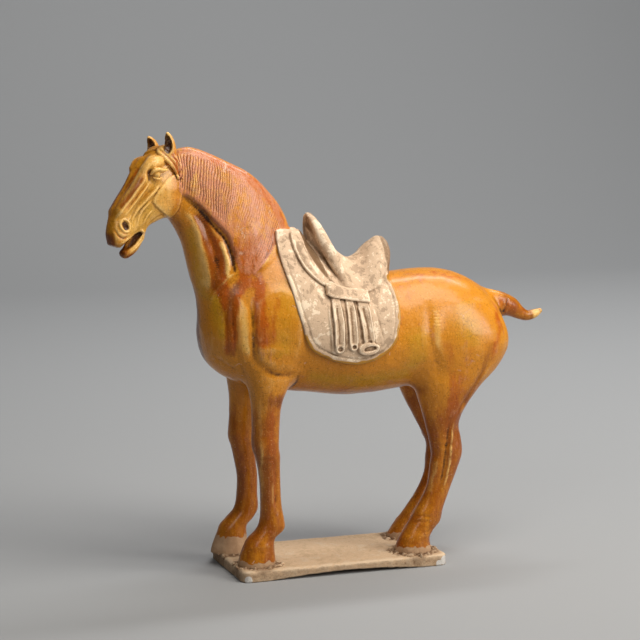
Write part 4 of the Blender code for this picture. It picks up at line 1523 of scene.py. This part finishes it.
@dataclass
class Leg:
    """A leg of upright stations: z, x, half width along x, half width across."""

    stations: Rows
    spread: float
    far_steps: Rows

    def form(self, side: Side) -> Form:
        """Level ellipses stacked up the leg; a far leg is stepped along x.

        Args:
            side: Which leg of the pair.

        Returns:
            The loft.
        """
        heights, steps = np.array(self.far_steps, float).T
        rows = np.array(self.stations, float)
        step = np.interp(rows[:, 0], heights, steps) if side is Side.FAR else np.zeros(len(rows))
        path = smooth_rows(np.column_stack([rows[:, 1] + step, np.full(len(rows), side.value * self.spread),
                                            rows[:, 0], rows[:, 2], rows[:, 3]]).tolist(), 2.5)
        turn = full_turn(56)
        x, y, z, long, wide = (path[:, k, None] for k in range(5))
        return Form(np.stack([x + long * np.cos(turn), y + wide * np.sin(turn),
                              np.broadcast_to(z, (len(path), len(turn)))], axis=-1))


@dataclass
class Mane:
    """Combed mane, a raised layer on the near side from the crest to a ragged lower edge."""

    outline: Rows = (
        (-214, 583), (-221, 562), (-224, 540), (-221, 513), (-206, 502), (-193, 492), (-174, 471),
        (-158, 453), (-152, 434), (-145, 412), (-138, 403), (-126, 402), (-111, 413), (-96, 430),
        (-81, 445), (-67, 452), (-56, 468), (-60, 500), (-90, 540), (-140, 568))
    strands: Rows = (
        (-221, 563, -223, 514), (-211, 563, -216, 510), (-198, 562, -207, 503),
        (-186, 559, -196, 494), (-173, 555, -184, 483), (-160, 550, -172, 470),
        (-146, 543, -163, 458), (-132, 534, -158, 445), (-118, 522, -153, 430),
        (-106, 512, -148, 415), (-95, 500, -140, 404), (-86, 486, -126, 403), (-78, 474, -110, 412),
        (-70, 460, -92, 432), (-64, 452, -76, 446))
    thickness: float = 5.0
    pitch: float = 3.9
    groove: float = 0.80

    def layer(self, clay: ClayField) -> None:
        """Join a layer that stands off the neck inside the outline, on the near side.

        Args:
            clay: The horse's field.
        """
        rim = smooth_rows(self.outline, 4.0, keys=2, closed=True)
        low, high = rim.min(axis=0) - 8, rim.max(axis=0) + 8
        window = clay.window((low[0], -80, low[1]), (high[0], 20, high[1]))
        x, y, z = clay.axes(window)
        edge = outline_distance(rim, x, z)
        thin = (0.22 + 0.78 * smooth_step(-222, -196, x)) * (1.0 - 0.55 * smooth_step(-125, -85, x))
        thin = thin * (0.06 + 0.94 * smooth_step(405, 452, z - 0.55 * np.maximum(x + 140, 0)))
        layer = soft_max(clay.values[window] - (self.thickness * thin).astype(np.float32),
                         edge.astype(np.float32), 6.0)
        layer = soft_max(layer, np.broadcast_to((y - 3.0).astype(np.float32), layer.shape), 4.0)
        clay.join(window, layer, 0.6)

    def inside(self, skin: Skin, normals: np.ndarray) -> np.ndarray:
        """Which points lie on the mane.

        Args:
            skin: The horse's skin.
            normals: Its normals.

        Returns:
            True for each point of the mane.
        """
        x, y, z = skin.points.T
        rim = smooth_rows(self.outline, 4.0, keys=2, closed=True)
        near = (y < 4.0) & (normals[:, 1] < 0.35) & (x < -50) & (x > -222) & (z > 398)
        ids = np.nonzero(near)[0]
        held = np.zeros(len(x), bool)
        held[ids] = outline_distance(rim, x[ids], z[ids]) < 0.5
        return held

    def comb(self, skin: Skin, normals: np.ndarray) -> np.ndarray:
        """Rise of the strands: wavy rounded ridges along the fan of lines.

        Args:
            skin: The horse's skin.
            normals: Its normals.

        Returns:
            The rise of each point; the tone "mane" is set too.
        """
        held = self.inside(skin, normals)
        ids = np.nonzero(held)[0]
        x, _, z = skin.points[ids].T
        where, down = ruled_share(self.strands, x, z)
        wave = 0.9 * np.sin(z / 8.0 + where * 0.11) + 0.5 * np.sin(z / 3.9 + where * 0.31)
        phase = (where + wave) / self.pitch
        crest = 1.0 - np.abs(np.sin(np.pi * phase)) ** 0.7
        strength = 1.0 - 0.72 * smooth_step(68, 96, where) + 0.20 * smooth_step(150, 175, where)
        strength = strength * smooth_step(1.04, 0.72, down) * smooth_step(-0.02, 0.12, down)
        rise = np.zeros(len(held))
        rise[ids] = -self.groove * 1.5 * crest * strength + 0.45 * np.sin(np.pi * phase / 2.6) * strength
        skin.tones["mane"] = held.astype(float)
        return rise


@dataclass
class Horse:
    """The whole glazed figure."""

    cell: float = 1.2
    trunk: Trunk = field(default_factory=Trunk)
    neck: Neck = field(default_factory=Neck)
    head: Head = field(default_factory=Head)
    mane: Mane = field(default_factory=Mane)
    foreleg: Leg = field(default_factory=lambda: Leg(
        [(300, -100, 38, 26), (270, -99, 38, 27), (248, -102, 29, 25), (222, -105, 21.5, 20),
         (196, -106, 19.5, 17), (165, -107, 19, 17), (150, -104, 17.5, 16.5), (132, -102, 15.5, 14),
         (105, -100, 14.5, 13), (80, -99, 15, 13.5), (60, -98, 17.5, 15.5), (48, -101, 20, 16.5),
         (37, -113, 19.5, 18), (25, -117, 21.5, 20), (9, -119, 25, 23), (0, -120, 26, 24)], 42.0,
        [(0, -14), (28, -13), (48, -17), (62, -10), (100, -6), (140, -9), (165, -8), (200, -6), (300, -4)]))
    hind_leg: Leg = field(default_factory=lambda: Leg(
        [(345, 172, 40, 14), (320, 178, 60, 26), (290, 183, 66, 33), (255, 170, 62, 32), (228, 160, 46, 29),
         (200, 154, 32, 22), (178, 153, 24.5, 17.5), (158, 157, 23.5, 17), (136, 160, 22.5, 17),
         (114, 155, 20.5, 15), (92, 149, 18, 13.5), (72, 141, 18.5, 14), (56, 133, 20.5, 16),
         (42, 127, 23, 17), (31, 119, 22, 18), (20, 112, 22, 20), (6, 110, 25.5, 23), (0, 110, 26.5, 24)],
        42.0, [(0, 20), (26, 27), (54, 31), (100, 30), (138, 26), (153, 21), (194, 10), (240, 3), (300, 0)]))
    tail: Rows = (
        (212, 352, 14), (240, 345, 15), (258, 338, 17), (274, 333, 14), (288, 324, 9.5),
        (300, 319, 7.5), (312, 321, 6.5), (321, 325, 4))

    def field(self) -> ClayField:
        """Join all the forms, then lay the mane on.

        Returns:
            The clay of the figure.
        """
        clay = ClayField((-345, -100, -8), (340, 100, 606), self.cell)
        clay.add(self.trunk.form(), 0.0)
        clay.add(self.neck.form(), 16.0)
        for side in Side:
            clay.add(self.foreleg.form(side), 14.0)
            clay.add(self.hind_leg.form(side), 16.0)
        tail = [(x, 0.0, z, r * 0.85, r) for x, z, r in self.tail]
        clay.add(tube_form(tail, np.array([0.0, 1.0, 0.0]), 40, 2.0), 8.0)
        self.mane.layer(clay)
        self.head.add_to(clay)
        return clay

    def build(self, clay: ClayField, grid: DesignGrid) -> bpy.types.Object:
        """Turn the clay into the carved and toned piece.

        Args:
            clay: The figure's field.
            grid: The design grid.

        Returns:
            The horse.
        """
        skin = clay.skin()
        skin.points = skin.smoothed(1)
        x, _, z = skin.points.T
        skin.refine((x < -140) & (z > 425) | (x < -100) & (z > 470))
        normals = skin.normals()
        rise = self.mane.comb(skin, normals)
        rise += skin.press(HEAD_CARVING + BODY_CARVING, normals)
        rise += 0.45 * lattice_noise(skin.points, 26, 1) + 0.18 * lattice_noise(skin.points, 9, 2)
        skin.points = skin.points + normals * rise[:, None]
        skin.points[:, 2] = np.maximum(skin.points[:, 2], 0.0)
        self.tone(skin)
        LOG.info("horse skin: %d points, %d faces", len(skin.points), len(skin.faces))
        return skin.piece("glazed_horse", grid)

    def tone(self, skin: Skin) -> None:
        """Where the glaze is thin, gathered, rusty, olive or missing, and where shade and highlights are
        painted into it.

        Args:
            skin: The carved skin.
        """
        x, y, z = skin.points.T
        skin.note_relief(0.95, 24, 0.36, 0.25)
        drip = lattice_noise(skin.points * [1, 1, 0.3], 7, 5) + 0.6 * lattice_noise(skin.points, 3.5, 6)
        edge = np.where(x > -70, 7.0, np.where(y < 0, 9.0, 24.0))
        skin.tones["bare"] = smooth_step(edge + 4, edge - 4, z + drip * 4.5)
        normals = skin.normals()
        for name, washes in GLAZE_WASHES.items():
            skin.tones[name] = np.clip(skin.press(washes, normals), 0, 1)
        mane = skin.tones.pop("mane")
        skin.tones["blush"] += mane * 0.72
        skin.tones["rust"] += mane * (0.15 + 0.5 * smooth_step(470, 430, z))
        skin.tones["pale"] += mane * (0.10 + 0.16 * smooth_step(-160, -200, x))
        skin.tones["steeped_and_shade"] += smooth_step(246, 262, x) * 0.6
        # Olive glaze over the head, which is also drawn paler, as thin glaze and as a painted highlight
        head = smooth_step(-222, -236, x) * smooth_step(420, 440, z)
        skin.tones["olive"] += head * 0.35
        skin.tones["pale"] += head * 0.52
        # Painted shade on the far side of the breast
        breast = smooth_step(-166, -180, x) * smooth_step(236, 262, z) * smooth_step(400, 345, z)
        breast *= smooth_step(-16, 12, y)
        lip = self.head.lip_glaze(skin.points)
        # Painted shade down the bridge of the nose; dark glaze on the lips
        _, left, _ = HEAD.coordinates(skin.points)
        painted_bridge_shade = head * smooth_step(13, 6, left) * smooth_step(-30, -12, left)
        skin.tones["steeped_and_shade"] += lip * 0.8 + painted_bridge_shade * 0.34
        skin.tones["pale"] -= lip * 0.5 + painted_bridge_shade * 0.34
        # Below the belly the glaze is drawn darker and redder towards the bottom; the far breast gets its
        # painted shade here too
        skin.tones["steeped_and_shade"] += smooth_step(262, 170, z) * 0.58 + breast * 0.95
        skin.tones["rust"] += smooth_step(262, 170, z) * 0.30
        # Painted shade in the ears, nostrils and mouth, and dark glaze on the lips
        hollows = np.maximum(self.head.shade(skin.points) * 0.95, lip * 0.5)
        skin.tones["dark"] = np.maximum(skin.tones["dark"], hollows)


@dataclass
class Covering:
    """Clay laid over the horse: its own field, and the horse's distances on the same grid."""

    clay: ClayField
    body: np.ndarray

    def layer(self, outline: np.ndarray, rise: float, rounding: float, blend: float) -> None:
        """Join what stands off the body by an even rise inside an outline of the side view.

        Args:
            outline: The outline's points.
            rise: Height above the horse.
            rounding: Rounding of the layer's edge.
            blend: Reach of the fillet where it joins.
        """
        low, high = outline.min(axis=0) - 12, outline.max(axis=0) + 12
        window = self.clay.window((low[0], -95, low[1]), (high[0], 95, high[1]))
        x, _, z = self.clay.axes(window)
        edge = outline_distance(outline, x, z).astype(np.float32)
        self.clay.join(window, soft_max(self.body[window] - rise, edge, rounding), blend)

    def sink(self, hole: Sequence[float], floor: float) -> None:
        """Cut a round hole in the side view down to a height above the horse.

        Args:
            hole: Centre x and z, and radius.
            floor: Height above the horse at which the hole stops.
        """
        cx, cz, r = hole
        window = self.clay.window((cx - r - 4, -95, cz - r - 4), (cx + r + 4, 95, cz + r + 4))
        x, _, z = self.clay.axes(window)
        ring = np.sqrt((x - cx) ** 2 + (z - cz) ** 2).astype(np.float32) - r
        hollow = soft_max(np.broadcast_to(ring, self.body[window].shape), floor - self.body[window], 1.0)
        self.clay.values[window] = soft_max(self.clay.values[window], -hollow, 1.0)


@dataclass
class Saddle:
    """Cloth, panel, tree, belt and straps in one skin of bare clay that follows the horse."""

    cloth: Rows = (
        (-36, 500), (-45, 460), (-82, 458), (-87, 452), (-87, 428), (-84, 406), (-78, 379), (-73, 355),
        (-66, 331), (-60, 310), (-50, 296), (-34, 288), (-20, 281), (2, 276), (16, 275), (38, 280),
        (56, 291), (68, 304), (73, 317), (79, 345), (79, 372), (74, 402), (70, 500))
    panel: Rows = (
        (-36, 500), (-45, 457), (-63, 455), (-66, 445), (-63, 427), (-57, 411), (-46, 396), (-27, 382),
        (0, 376), (36, 371), (54, 380), (68, 398), (79, 418), (76, 500))
    tree: Rows = (
        (-35, 461, 46, 37), (-31, 469.5, 50, 38), (-23, 468, 52, 36),
        (-12, 452, 52, 30), (0, 434, 51, 22), (14, 420, 50, 12), (28, 414, 50, 4), (42, 420, 50, -4),
        (54, 432, 50, -10), (66, 440, 49, -14), (76, 441, 46, -16), (84, 434, 40, -16), (88, 424, 32, -14))
    tree_floor: float = 380.0
    cloth_thickness: float = 4.5
    panel_rise: float = 4.2
    strap_rise: float = 3.4
    belt_rise: float = 3.0
    knot_rise: float = 1.8
    sinking: float = 0.7
    straps: Rows = (
        (-15.5, 363, -14, 299, 6.8), (5, 361, 5.5, 301, 6.0), (24.5, 359, 28, 305, 7.8))
    ring: Rows = (
        (14, 302), (28, 306), (42, 301), (40, 293), (27, 288), (14, 292))
    ring_holes: Rows = (
        (22.0, 296.2, 2.4), (25.0, 296.8, 2.9), (28.5, 297.4, 3.3), (32.0, 297.8, 3.0), (35.0, 298, 2.4))
    knot: tuple[float, ...] = (-18, 382, 8, 6.5)
    belt: Rows = (
        (-27, 387), (-16, 386), (6, 379), (36, 374), (35, 358), (8, 362), (-22, 368), (-28, 372))
    collar: Rows = (
        (-53, 0, 451, 6), (-54, 12, 448, 6), (-55, 28, 437, 6), (-51, 45, 417, 5.6), (-43, 53, 401, 5),
        (-32, 57, 389, 4))
    gullet: Rows = (
        (-40, 0, 467, 8), (-40, 12, 462, 8.5), (-38, 22, 450, 8.5), (-35, 32, 434, 8), (-29, 47, 415, 6.6),
        (-21, 58, 400, 4.4), (-15, 63, 391, 2.4))

    def tree_form(self) -> Form:
        """Arches over the back, leaning back as they come down, closed below.

        Returns:
            The loft.
        """
        rows = smooth_rows([(x, 0, z, w, lean) for x, z, w, lean in self.tree], 2.0)
        out = np.linspace(-1.0, 1.0, 61)[None]
        rise = (1.0 - np.abs(out) ** 1.7) ** 0.85
        x, ridge, foot, lean = (rows[:, k, None] for k in (0, 2, 3, 4))
        height = self.tree_floor + (ridge - self.tree_floor) * rise
        arch = np.stack([x + lean * (1.0 - rise), foot * out, height], axis=-1)
        base = arch[:, ::-1].copy()
        base[..., 2] = np.minimum(self.tree_floor, base[..., 2]) - 14.0
        return Form(np.concatenate([arch, base], axis=1))

    def arm_form(self, side: Side) -> Form:
        """Rounded rim of the pommel, which sweeps back down the panel.

        Args:
            side: Which side.

        Returns:
            The loft.
        """
        x, ridge, foot, lean = self.tree[1]
        out = np.linspace(0.0, 1.0, 12)
        rise = (1.0 - out**1.7) ** 0.85
        points = np.column_stack([x + lean * (1.0 - rise), side.value * foot * out,
                                  self.tree_floor + (ridge - self.tree_floor) * rise])
        radius = np.interp(out, [0.0, 0.4, 0.75, 1.0], [7.0, 8.8, 8.6, 6.0])
        rows = np.column_stack([points, radius, radius])
        return tube_form(rows.tolist(), np.array([1.0, 0.0, 0.0]), 32, 2.0)

    def strap_outline(self, row: tuple[float, ...]) -> np.ndarray:
        """A strap's outline: straight sides and a rounded loop below.

        Args:
            row: Top x and z, foot x and z, half width.

        Returns:
            The outline's points.
        """
        x0, z0, x1, z1, half = row
        turn = np.linspace(0, -math.pi, 9)
        end = np.stack([x1 + half * np.cos(turn), z1 + half * np.sin(turn)], axis=1)
        return np.vstack([[(x0 - half, z0 + 4), (x0 + half, z0 + 4)], end])

    def build(self, horse: ClayField, grid: DesignGrid) -> bpy.types.Object:
        """Work the saddle over the horse and turn it into a piece.

        Args:
            horse: The horse's field.
            grid: The design grid.

        Returns:
            The saddle.
        """
        clay = ClayField((-112, -96, 258), (112, 96, 496), horse.cell)
        start = clay.low - horse.low
        part = tuple(slice(int(a), int(a + n)) for a, n in zip(start, clay.shape))
        cover = Covering(clay, horse.values[part])
        self.lay_seat(cover)
        self.lay_straps(cover)
        clay.values = soft_max(clay.values, -(cover.body + self.sinking), 0.0)
        skin = clay.skin()
        skin.points = skin.smoothed(1)
        normals = skin.normals()
        skin.refine((normals[:, 1] * np.sign(skin.points[:, 1]) > -0.1) | (normals[:, 2] > 0.3))
        normals = skin.normals()
        rise = skin.press(SADDLE_CARVING + self.strap_marks(), normals)
        rise += 0.35 * lattice_noise(skin.points, 17, 11) + 0.22 * lattice_noise(skin.points, 6, 12)
        outer = normals[:, 1] * np.sign(skin.points[:, 1]) > -0.2
        skin.points = skin.points + normals * (rise * outer)[:, None]
        self.tone(skin)
        LOG.info("saddle skin: %d points, %d faces", len(skin.points), len(skin.faces))
        return skin.piece("clay_saddle", grid, 150_000)

    def lay_seat(self, cover: Covering) -> None:
        """Lay the cloth and the panel, set the tree on them, and open the gullet below the pommel."""
        cover.layer(smooth_rows(self.cloth, 3.0, keys=2), self.cloth_thickness, 3.0, 0.0)
        panel = smooth_rows(self.panel, 3.0, keys=2)
        cover.layer(panel, self.cloth_thickness + self.panel_rise, 4.0, 1.0)
        cover.clay.add(self.tree_form(), 5.0)
        for side in Side:
            cover.clay.add(self.arm_form(side), 2.0)
        across = np.array([0.0, 1.0, 0.0])
        for side in Side:
            collar, gullet = ([(x, side.value * y, z, r, r) for x, y, z, r in rows]
                              for rows in (self.collar, self.gullet))
            cover.clay.add(tube_form(collar, across, 32, 2.0), 1.5)
            cover.clay.cut(tube_form(gullet, across, 32, 2.0), 4.0)

    def lay_straps(self, cover: Covering) -> None:
        """Lay the straps with their loops, the ring on the last one, the belt and its knot."""
        strap_top = self.cloth_thickness + self.strap_rise
        for row in self.straps:
            cover.layer(self.strap_outline(row), strap_top, 2.4, 0.8)
            _, _, x1, z1, half = row
            cover.sink((x1 + 0.4, z1 - 0.5, half * 0.5), self.cloth_thickness + 0.4)
        cover.layer(smooth_rows(self.ring, 2.0, keys=2, closed=True), strap_top + 1.0, 2.0, 0.6)
        for hole in self.ring_holes:
            cover.sink(hole, self.cloth_thickness + 0.2)
        belt_top = self.cloth_thickness + self.panel_rise + self.belt_rise
        cover.layer(np.array(self.belt, float), belt_top, 3.0, 0.4)
        cx, cz, long, high = self.knot
        turn = full_turn(16)
        knot = np.stack([cx + long * np.cos(turn), cz + high * np.sin(turn)], axis=1)
        cover.layer(knot, belt_top + self.knot_rise, 4.0, 1.5)

    def strap_marks(self) -> list[Mark | Pad]:
        """Raised borders and a sunk middle on each strap.

        Returns:
            The marks.
        """
        marks: list[Mark | Pad] = []
        for x0, z0, x1, z1, half in self.straps:
            for offset, width, rise in ((-half + 0.9, 0.9, 1.1), (half - 0.9, 0.9, 1.1), (0.0, 3.2, -1.7)):
                marks.append(Mark([(x0 + offset, z0 - 4), (x1 + offset, z1 + 2)], width, rise, 0.08))
        return marks

    def tone(self, skin: Skin) -> None:
        """Where slip, earth and touches of glaze lie, and where shade is painted.

        Args:
            skin: The carved skin.
        """
        x, _, z = skin.points.T
        skin.note_relief(1.2, 20, 0.4)
        rim = outline_distance(smooth_rows(self.cloth, 3.0, keys=2), x, z)
        drip = lattice_noise(skin.points, 8, 15)
        lower = (smooth_step(340, 300, z) + smooth_step(50, 75, x)) * smooth_step(398, 384, z)
        skin.tones["glazed"] = smooth_step(-6.0, -2.6, rim + drip * 1.6) * np.clip(lower, 0, 1)
        skin.tones["pale"] = np.zeros(len(x))
        soil_and_shade = np.clip(skin.press(SADDLE_SOIL_AND_SHADE, skin.normals()), 0, 1)
        # Painted shadow along the cloth's edge, below the seat
        soil_and_shade = np.maximum(soil_and_shade, smooth_step(-2.2, 0.2, rim) * smooth_step(452, 440, z) * 0.7)
        # Painted shade in the hollow of the gullet below the pommel
        for side in Side:
            line = smooth_rows([(a, side.value * (b - 3), c - 3, r) for a, b, c, r in self.gullet], 3.0)
            soil_and_shade = np.maximum(soil_and_shade, nearness(skin.points, line.tolist()) * 0.85)
        skin.tones["dark"] = soil_and_shade


@dataclass
class Plinth:
    """The slab, with worn edges, a low arch below and crumbs of clay about the hooves."""

    corner: float = 12.0
    rounding: float = 2.6
    foot: float = 36.0
    arch: float = 6.0
    hooves: tuple[tuple[float, float], ...] = ((-120, -42), (-134, 42), (110, -42), (130, 42))
    hoof_reach: float = 27.0
    chips: int = 46
    crumbs: int = 58
    # White losses: end of the slab, way in from it, way in from the edge, share of the depth, radius
    losses: Rows = (
        (1, 6, 3, 0.55, 6.0), (1, 14, 0, 0.75, 4.0), (-1, 8, 1, 0.75, 5.0))

    def build(self, grid: DesignGrid) -> bpy.types.Object:
        """Work the slab, its chips and its crumbs.

        Args:
            grid: The design grid.

        Returns:
            The plinth.
        """
        low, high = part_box("plinth")
        half = [(high[k] - low[k]) / 2 / grid.unit for k in range(2)]
        deep = (high[2] - low[2]) / grid.unit
        clay = ClayField((-half[0] - 4, -half[1] - 4, -deep - 4), (half[0] + 4, half[1] + 4, 12),
                         1.0, 8.0)
        whole = tuple(slice(0, n) for n in clay.shape)
        x, y, z = clay.axes(whole)
        qx = np.abs(x) - half[0] + self.corner
        qy = np.abs(y) - half[1] + self.corner
        side = np.hypot(np.maximum(qx, 0), np.maximum(qy, 0)) - self.corner
        side = side + np.minimum(np.maximum(qx, qy), 0)
        span = half[0] - self.foot
        floor = -deep + self.arch * np.where(np.abs(x) < span, np.cos(math.pi / 2 * x / span), 0.0)
        slab = soft_max(side, z, self.rounding * 2)
        clay.values[:] = np.clip(soft_max(slab, floor - z, 1.5), -8, 8)
        rng = np.random.default_rng(31)
        self.chip(clay, rng, half)
        self.strew(clay, rng)
        skin = clay.skin()
        skin.points = skin.smoothed(1)
        normals = skin.normals()
        rise = 0.35 * lattice_noise(skin.points, 22, 21) + 0.25 * lattice_noise(skin.points, 7, 22)
        rise += 0.12 * lattice_noise(skin.points, 2.6, 23)
        flat = skin.points[:, 2] > -deep + 1.2
        skin.points = skin.points + normals * (rise * flat)[:, None]
        skin.note_relief(1.4, 14, 0.3)
        near = np.full(len(skin.points), 99.0)
        for cx, cy in self.hooves:
            near = np.minimum(near, np.hypot(skin.points[:, 0] - cx, skin.points[:, 1] - cy))
        wander = lattice_noise(skin.points, 9, 24) * 7
        # Darker round each hoof; the slab's sides, which do not face up, get painted shade
        edge = smooth_step(0.8, 0.3, skin.normals()[:, 2]) * 0.5
        skin.tones["dark"] = np.maximum(smooth_step(44, 28, near + wander) * 0.7, edge)
        white = [(side * (half[0] - back), out - half[1], -down * deep, r)
                 for side, back, out, down, r in self.losses]
        skin.tones["glazed"] = nearness(skin.points, white, 1.5)
        skin.tones["pale"] = np.zeros(len(near))
        return skin.piece("slab_plinth", grid, 120_000)

    def lump(self, clay: ClayField, centre: np.ndarray, radii: np.ndarray, cut: bool) -> None:
        """Add or cut an ellipsoid.

        Args:
            clay: The slab's field.
            centre: Its middle.
            radii: Its half widths.
            cut: Whether it is cut away.
        """
        window = clay.window(centre - radii - 2, centre + radii + 2)
        x, y, z = clay.axes(window)
        ring = np.sqrt(((x - centre[0]) / radii[0]) ** 2 + ((y - centre[1]) / radii[1]) ** 2
                       + ((z - centre[2]) / radii[2]) ** 2)
        ball = ((ring - 1.0) * radii.min()).astype(np.float32)
        own = clay.values[window]
        clay.values[window] = soft_max(own, -ball, 0.6) if cut else soft_min(own, ball, 1.2)

    def chip(self, clay: ClayField, rng: np.random.Generator, half: list[float]) -> None:
        """Small losses along the upper edges.

        Args:
            clay: The slab's field.
            rng: The source of chance.
            half: Half length and half width of the slab.
        """
        for _ in range(self.chips):
            along = rng.uniform(-1, 1)
            if rng.random() < 0.7:
                centre = np.array([along * half[0] * 0.95, rng.choice([-1, 1]) * half[1], 0.5])
            else:
                centre = np.array([rng.choice([-1, 1]) * half[0], along * half[1] * 0.9, 0.5])
            size = rng.uniform(1.2, 3.0)
            radii = np.array([size * rng.uniform(1, 2.4), size * rng.uniform(0.8, 1.3), size])
            self.lump(clay, centre, radii, True)

    def strew(self, clay: ClayField, rng: np.random.Generator) -> None:
        """Crumbs of clay pressed round each hoof.

        Args:
            clay: The slab's field.
            rng: The source of chance.
        """
        for cx, cy in self.hooves:
            for _ in range(self.crumbs):
                turn = rng.uniform(0, 2 * math.pi)
                away = self.hoof_reach + rng.uniform(-3, 8)
                size = rng.uniform(0.9, 2.8)
                centre = np.array([cx + away * math.cos(turn), cy + away * 0.92 * math.sin(turn),
                                   size * 0.25])
                self.lump(clay, centre, size * rng.uniform(0.7, 1.3, 3), False)


@dataclass
class Studio:
    """Pale floor, soft lights and the camera of the photograph."""

    azimuth: float = math.radians(-19.482)
    elevation: float = math.radians(8.1885)
    distance: float = 2.9471
    target: tuple[float, float, float] = (-0.0129, 0.0, 0.3432)
    lens: float = 120.0
    floor_colour: Colour = (0.315, 0.32, 0.325)

    def camera(self) -> None:
        """Stand the camera back from its target along the photograph's line of sight."""
        back = np.array([math.sin(self.azimuth) * math.cos(self.elevation),
                         -math.cos(self.azimuth) * math.cos(self.elevation), math.sin(self.elevation)])
        data = bpy.data.cameras.new("camera")
        data.lens = self.lens
        data.sensor_width = 36.0
        data.clip_end = 30.0
        camera = show("camera", data)
        camera.location = np.array(self.target) + back * self.distance
        camera.rotation_euler = (math.pi / 2 - self.elevation, 0.0, self.azimuth)
        bpy.context.scene.camera = camera

    def floor(self) -> None:
        """A wide pale ground that curves up behind into a wall."""
        turn = np.linspace(0.1, math.pi / 2, 12)
        bend, start, top = 2.0, 3.0, 6.0
        run = np.concatenate([np.linspace(-6, start, 10), start + bend * np.sin(turn), [start + bend]])
        climb = np.concatenate([np.zeros(10), bend - bend * np.cos(turn), [top]])
        across = np.array([-9.0, 9.0])
        low = CAD_BOX[0][2]
        points = np.stack([np.tile(across, len(run)), np.repeat(run, 2), np.repeat(climb, 2) + low],
                          axis=1)
        k = np.arange(len(run) - 1)[:, None] * 2
        mesh = bpy.data.meshes.new("floor")
        mesh.from_pydata(points.tolist(), [], (k + np.array([0, 1, 3, 2])).tolist())
        mesh.shade_smooth()
        floor = show("floor", mesh)
        g = Graph("studio_floor")
        mesh.materials.append(g.finish({"Base Color": (*self.floor_colour, 1.0), "Roughness": 0.9}))
        floor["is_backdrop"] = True

    def light(self, name: str, place: tuple[float, float, float], size: tuple[float, float],
              power: float, warmth: Colour = (1.0, 1.0, 1.0),
              aim: tuple[float, float, float] = (0.0, 0.0, 0.3)) -> None:
        """A soft box that looks at a point.

        Args:
            name: The light's name.
            place: Where it stands.
            size: Its width and height.
            power: Its watts.
            warmth: Its colour.
            aim: The point that it looks at.
        """
        data = bpy.data.lights.new(name, "AREA")
        data.shape = "RECTANGLE"
        data.size, data.size_y = size
        data.energy = power
        data.color = warmth
        lamp = show(name, data)
        spot = Vector(place)
        lamp.location = spot
        lamp.rotation_mode = "QUATERNION"
        lamp.rotation_quaternion = (spot - Vector(aim)).to_track_quat("Z", "Y")

    def build(self) -> None:
        """Set camera, floor, lights and the grey surroundings."""
        self.camera()
        self.floor()
        warm = (1.0, 0.96, 0.90)
        self.light("top_box", (0.45, -0.75, 2.1), (1.7, 1.1), 40.0, warm)
        self.light("right_box", (2.1, -1.9, 1.5), (1.2, 2.0), 63.0, warm)
        self.light("left_box", (-1.7, -2.1, 1.9), (0.8, 0.8), 10.0, warm)
        self.light("wall_box", (1.4, 1.0, 3.1), (3.0, 0.8), 122.0, aim=(1.5, 3.9, 0.2))
        world = bpy.data.worlds.new("studio")
        world.use_nodes = True
        world.node_tree.nodes["Background"].inputs["Color"].default_value = (0.90, 0.93, 1.0, 1.0)
        world.node_tree.nodes["Background"].inputs["Strength"].default_value = 0.05
        scene = bpy.context.scene
        scene.world = world
        scene.view_settings.view_transform = "Standard"


def dress(piece: bpy.types.Object, node: str, slot: str, material: bpy.types.Material) -> None:
    """Give a piece its finish and its body, and hide the CAD node that it stands for.

    Args:
        piece: The finished object.
        node: The CAD node.
        slot: The record's material slot, which is only written to the log.
        material: The finish.
    """
    piece.data.materials.clear()
    piece.data.materials.append(material)
    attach(piece, "root")
    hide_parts(node)
    LOG.info("%s stands for %s, slot %s", piece.name, node, slot)


def main() -> None:
    """Build the pieces in order."""
    logging.basicConfig(level=logging.INFO, format="%(name)s %(message)s")
    grid = DesignGrid.from_frame()
    horse = Horse()
    clay = horse.field()
    dress(Saddle().build(clay, grid), "saddle", "saddle_clay", BareClay().material())
    dress(horse.build(clay, grid), "horse", "amber_glaze", AmberGlaze().material())
    slab = BareClay("plinth_clay", clay=(0.52, 0.36, 0.215), slip=(0.60, 0.42, 0.26),
                    scuff=(0.62, 0.465, 0.31), soil_and_shade=(0.19, 0.105, 0.05),
                    glaze=(0.62, 0.585, 0.54))
    dress(Plinth().build(grid), "plinth", "plinth_clay", slab.material())
    Studio().build()


if __name__ == "__main__":
    main()
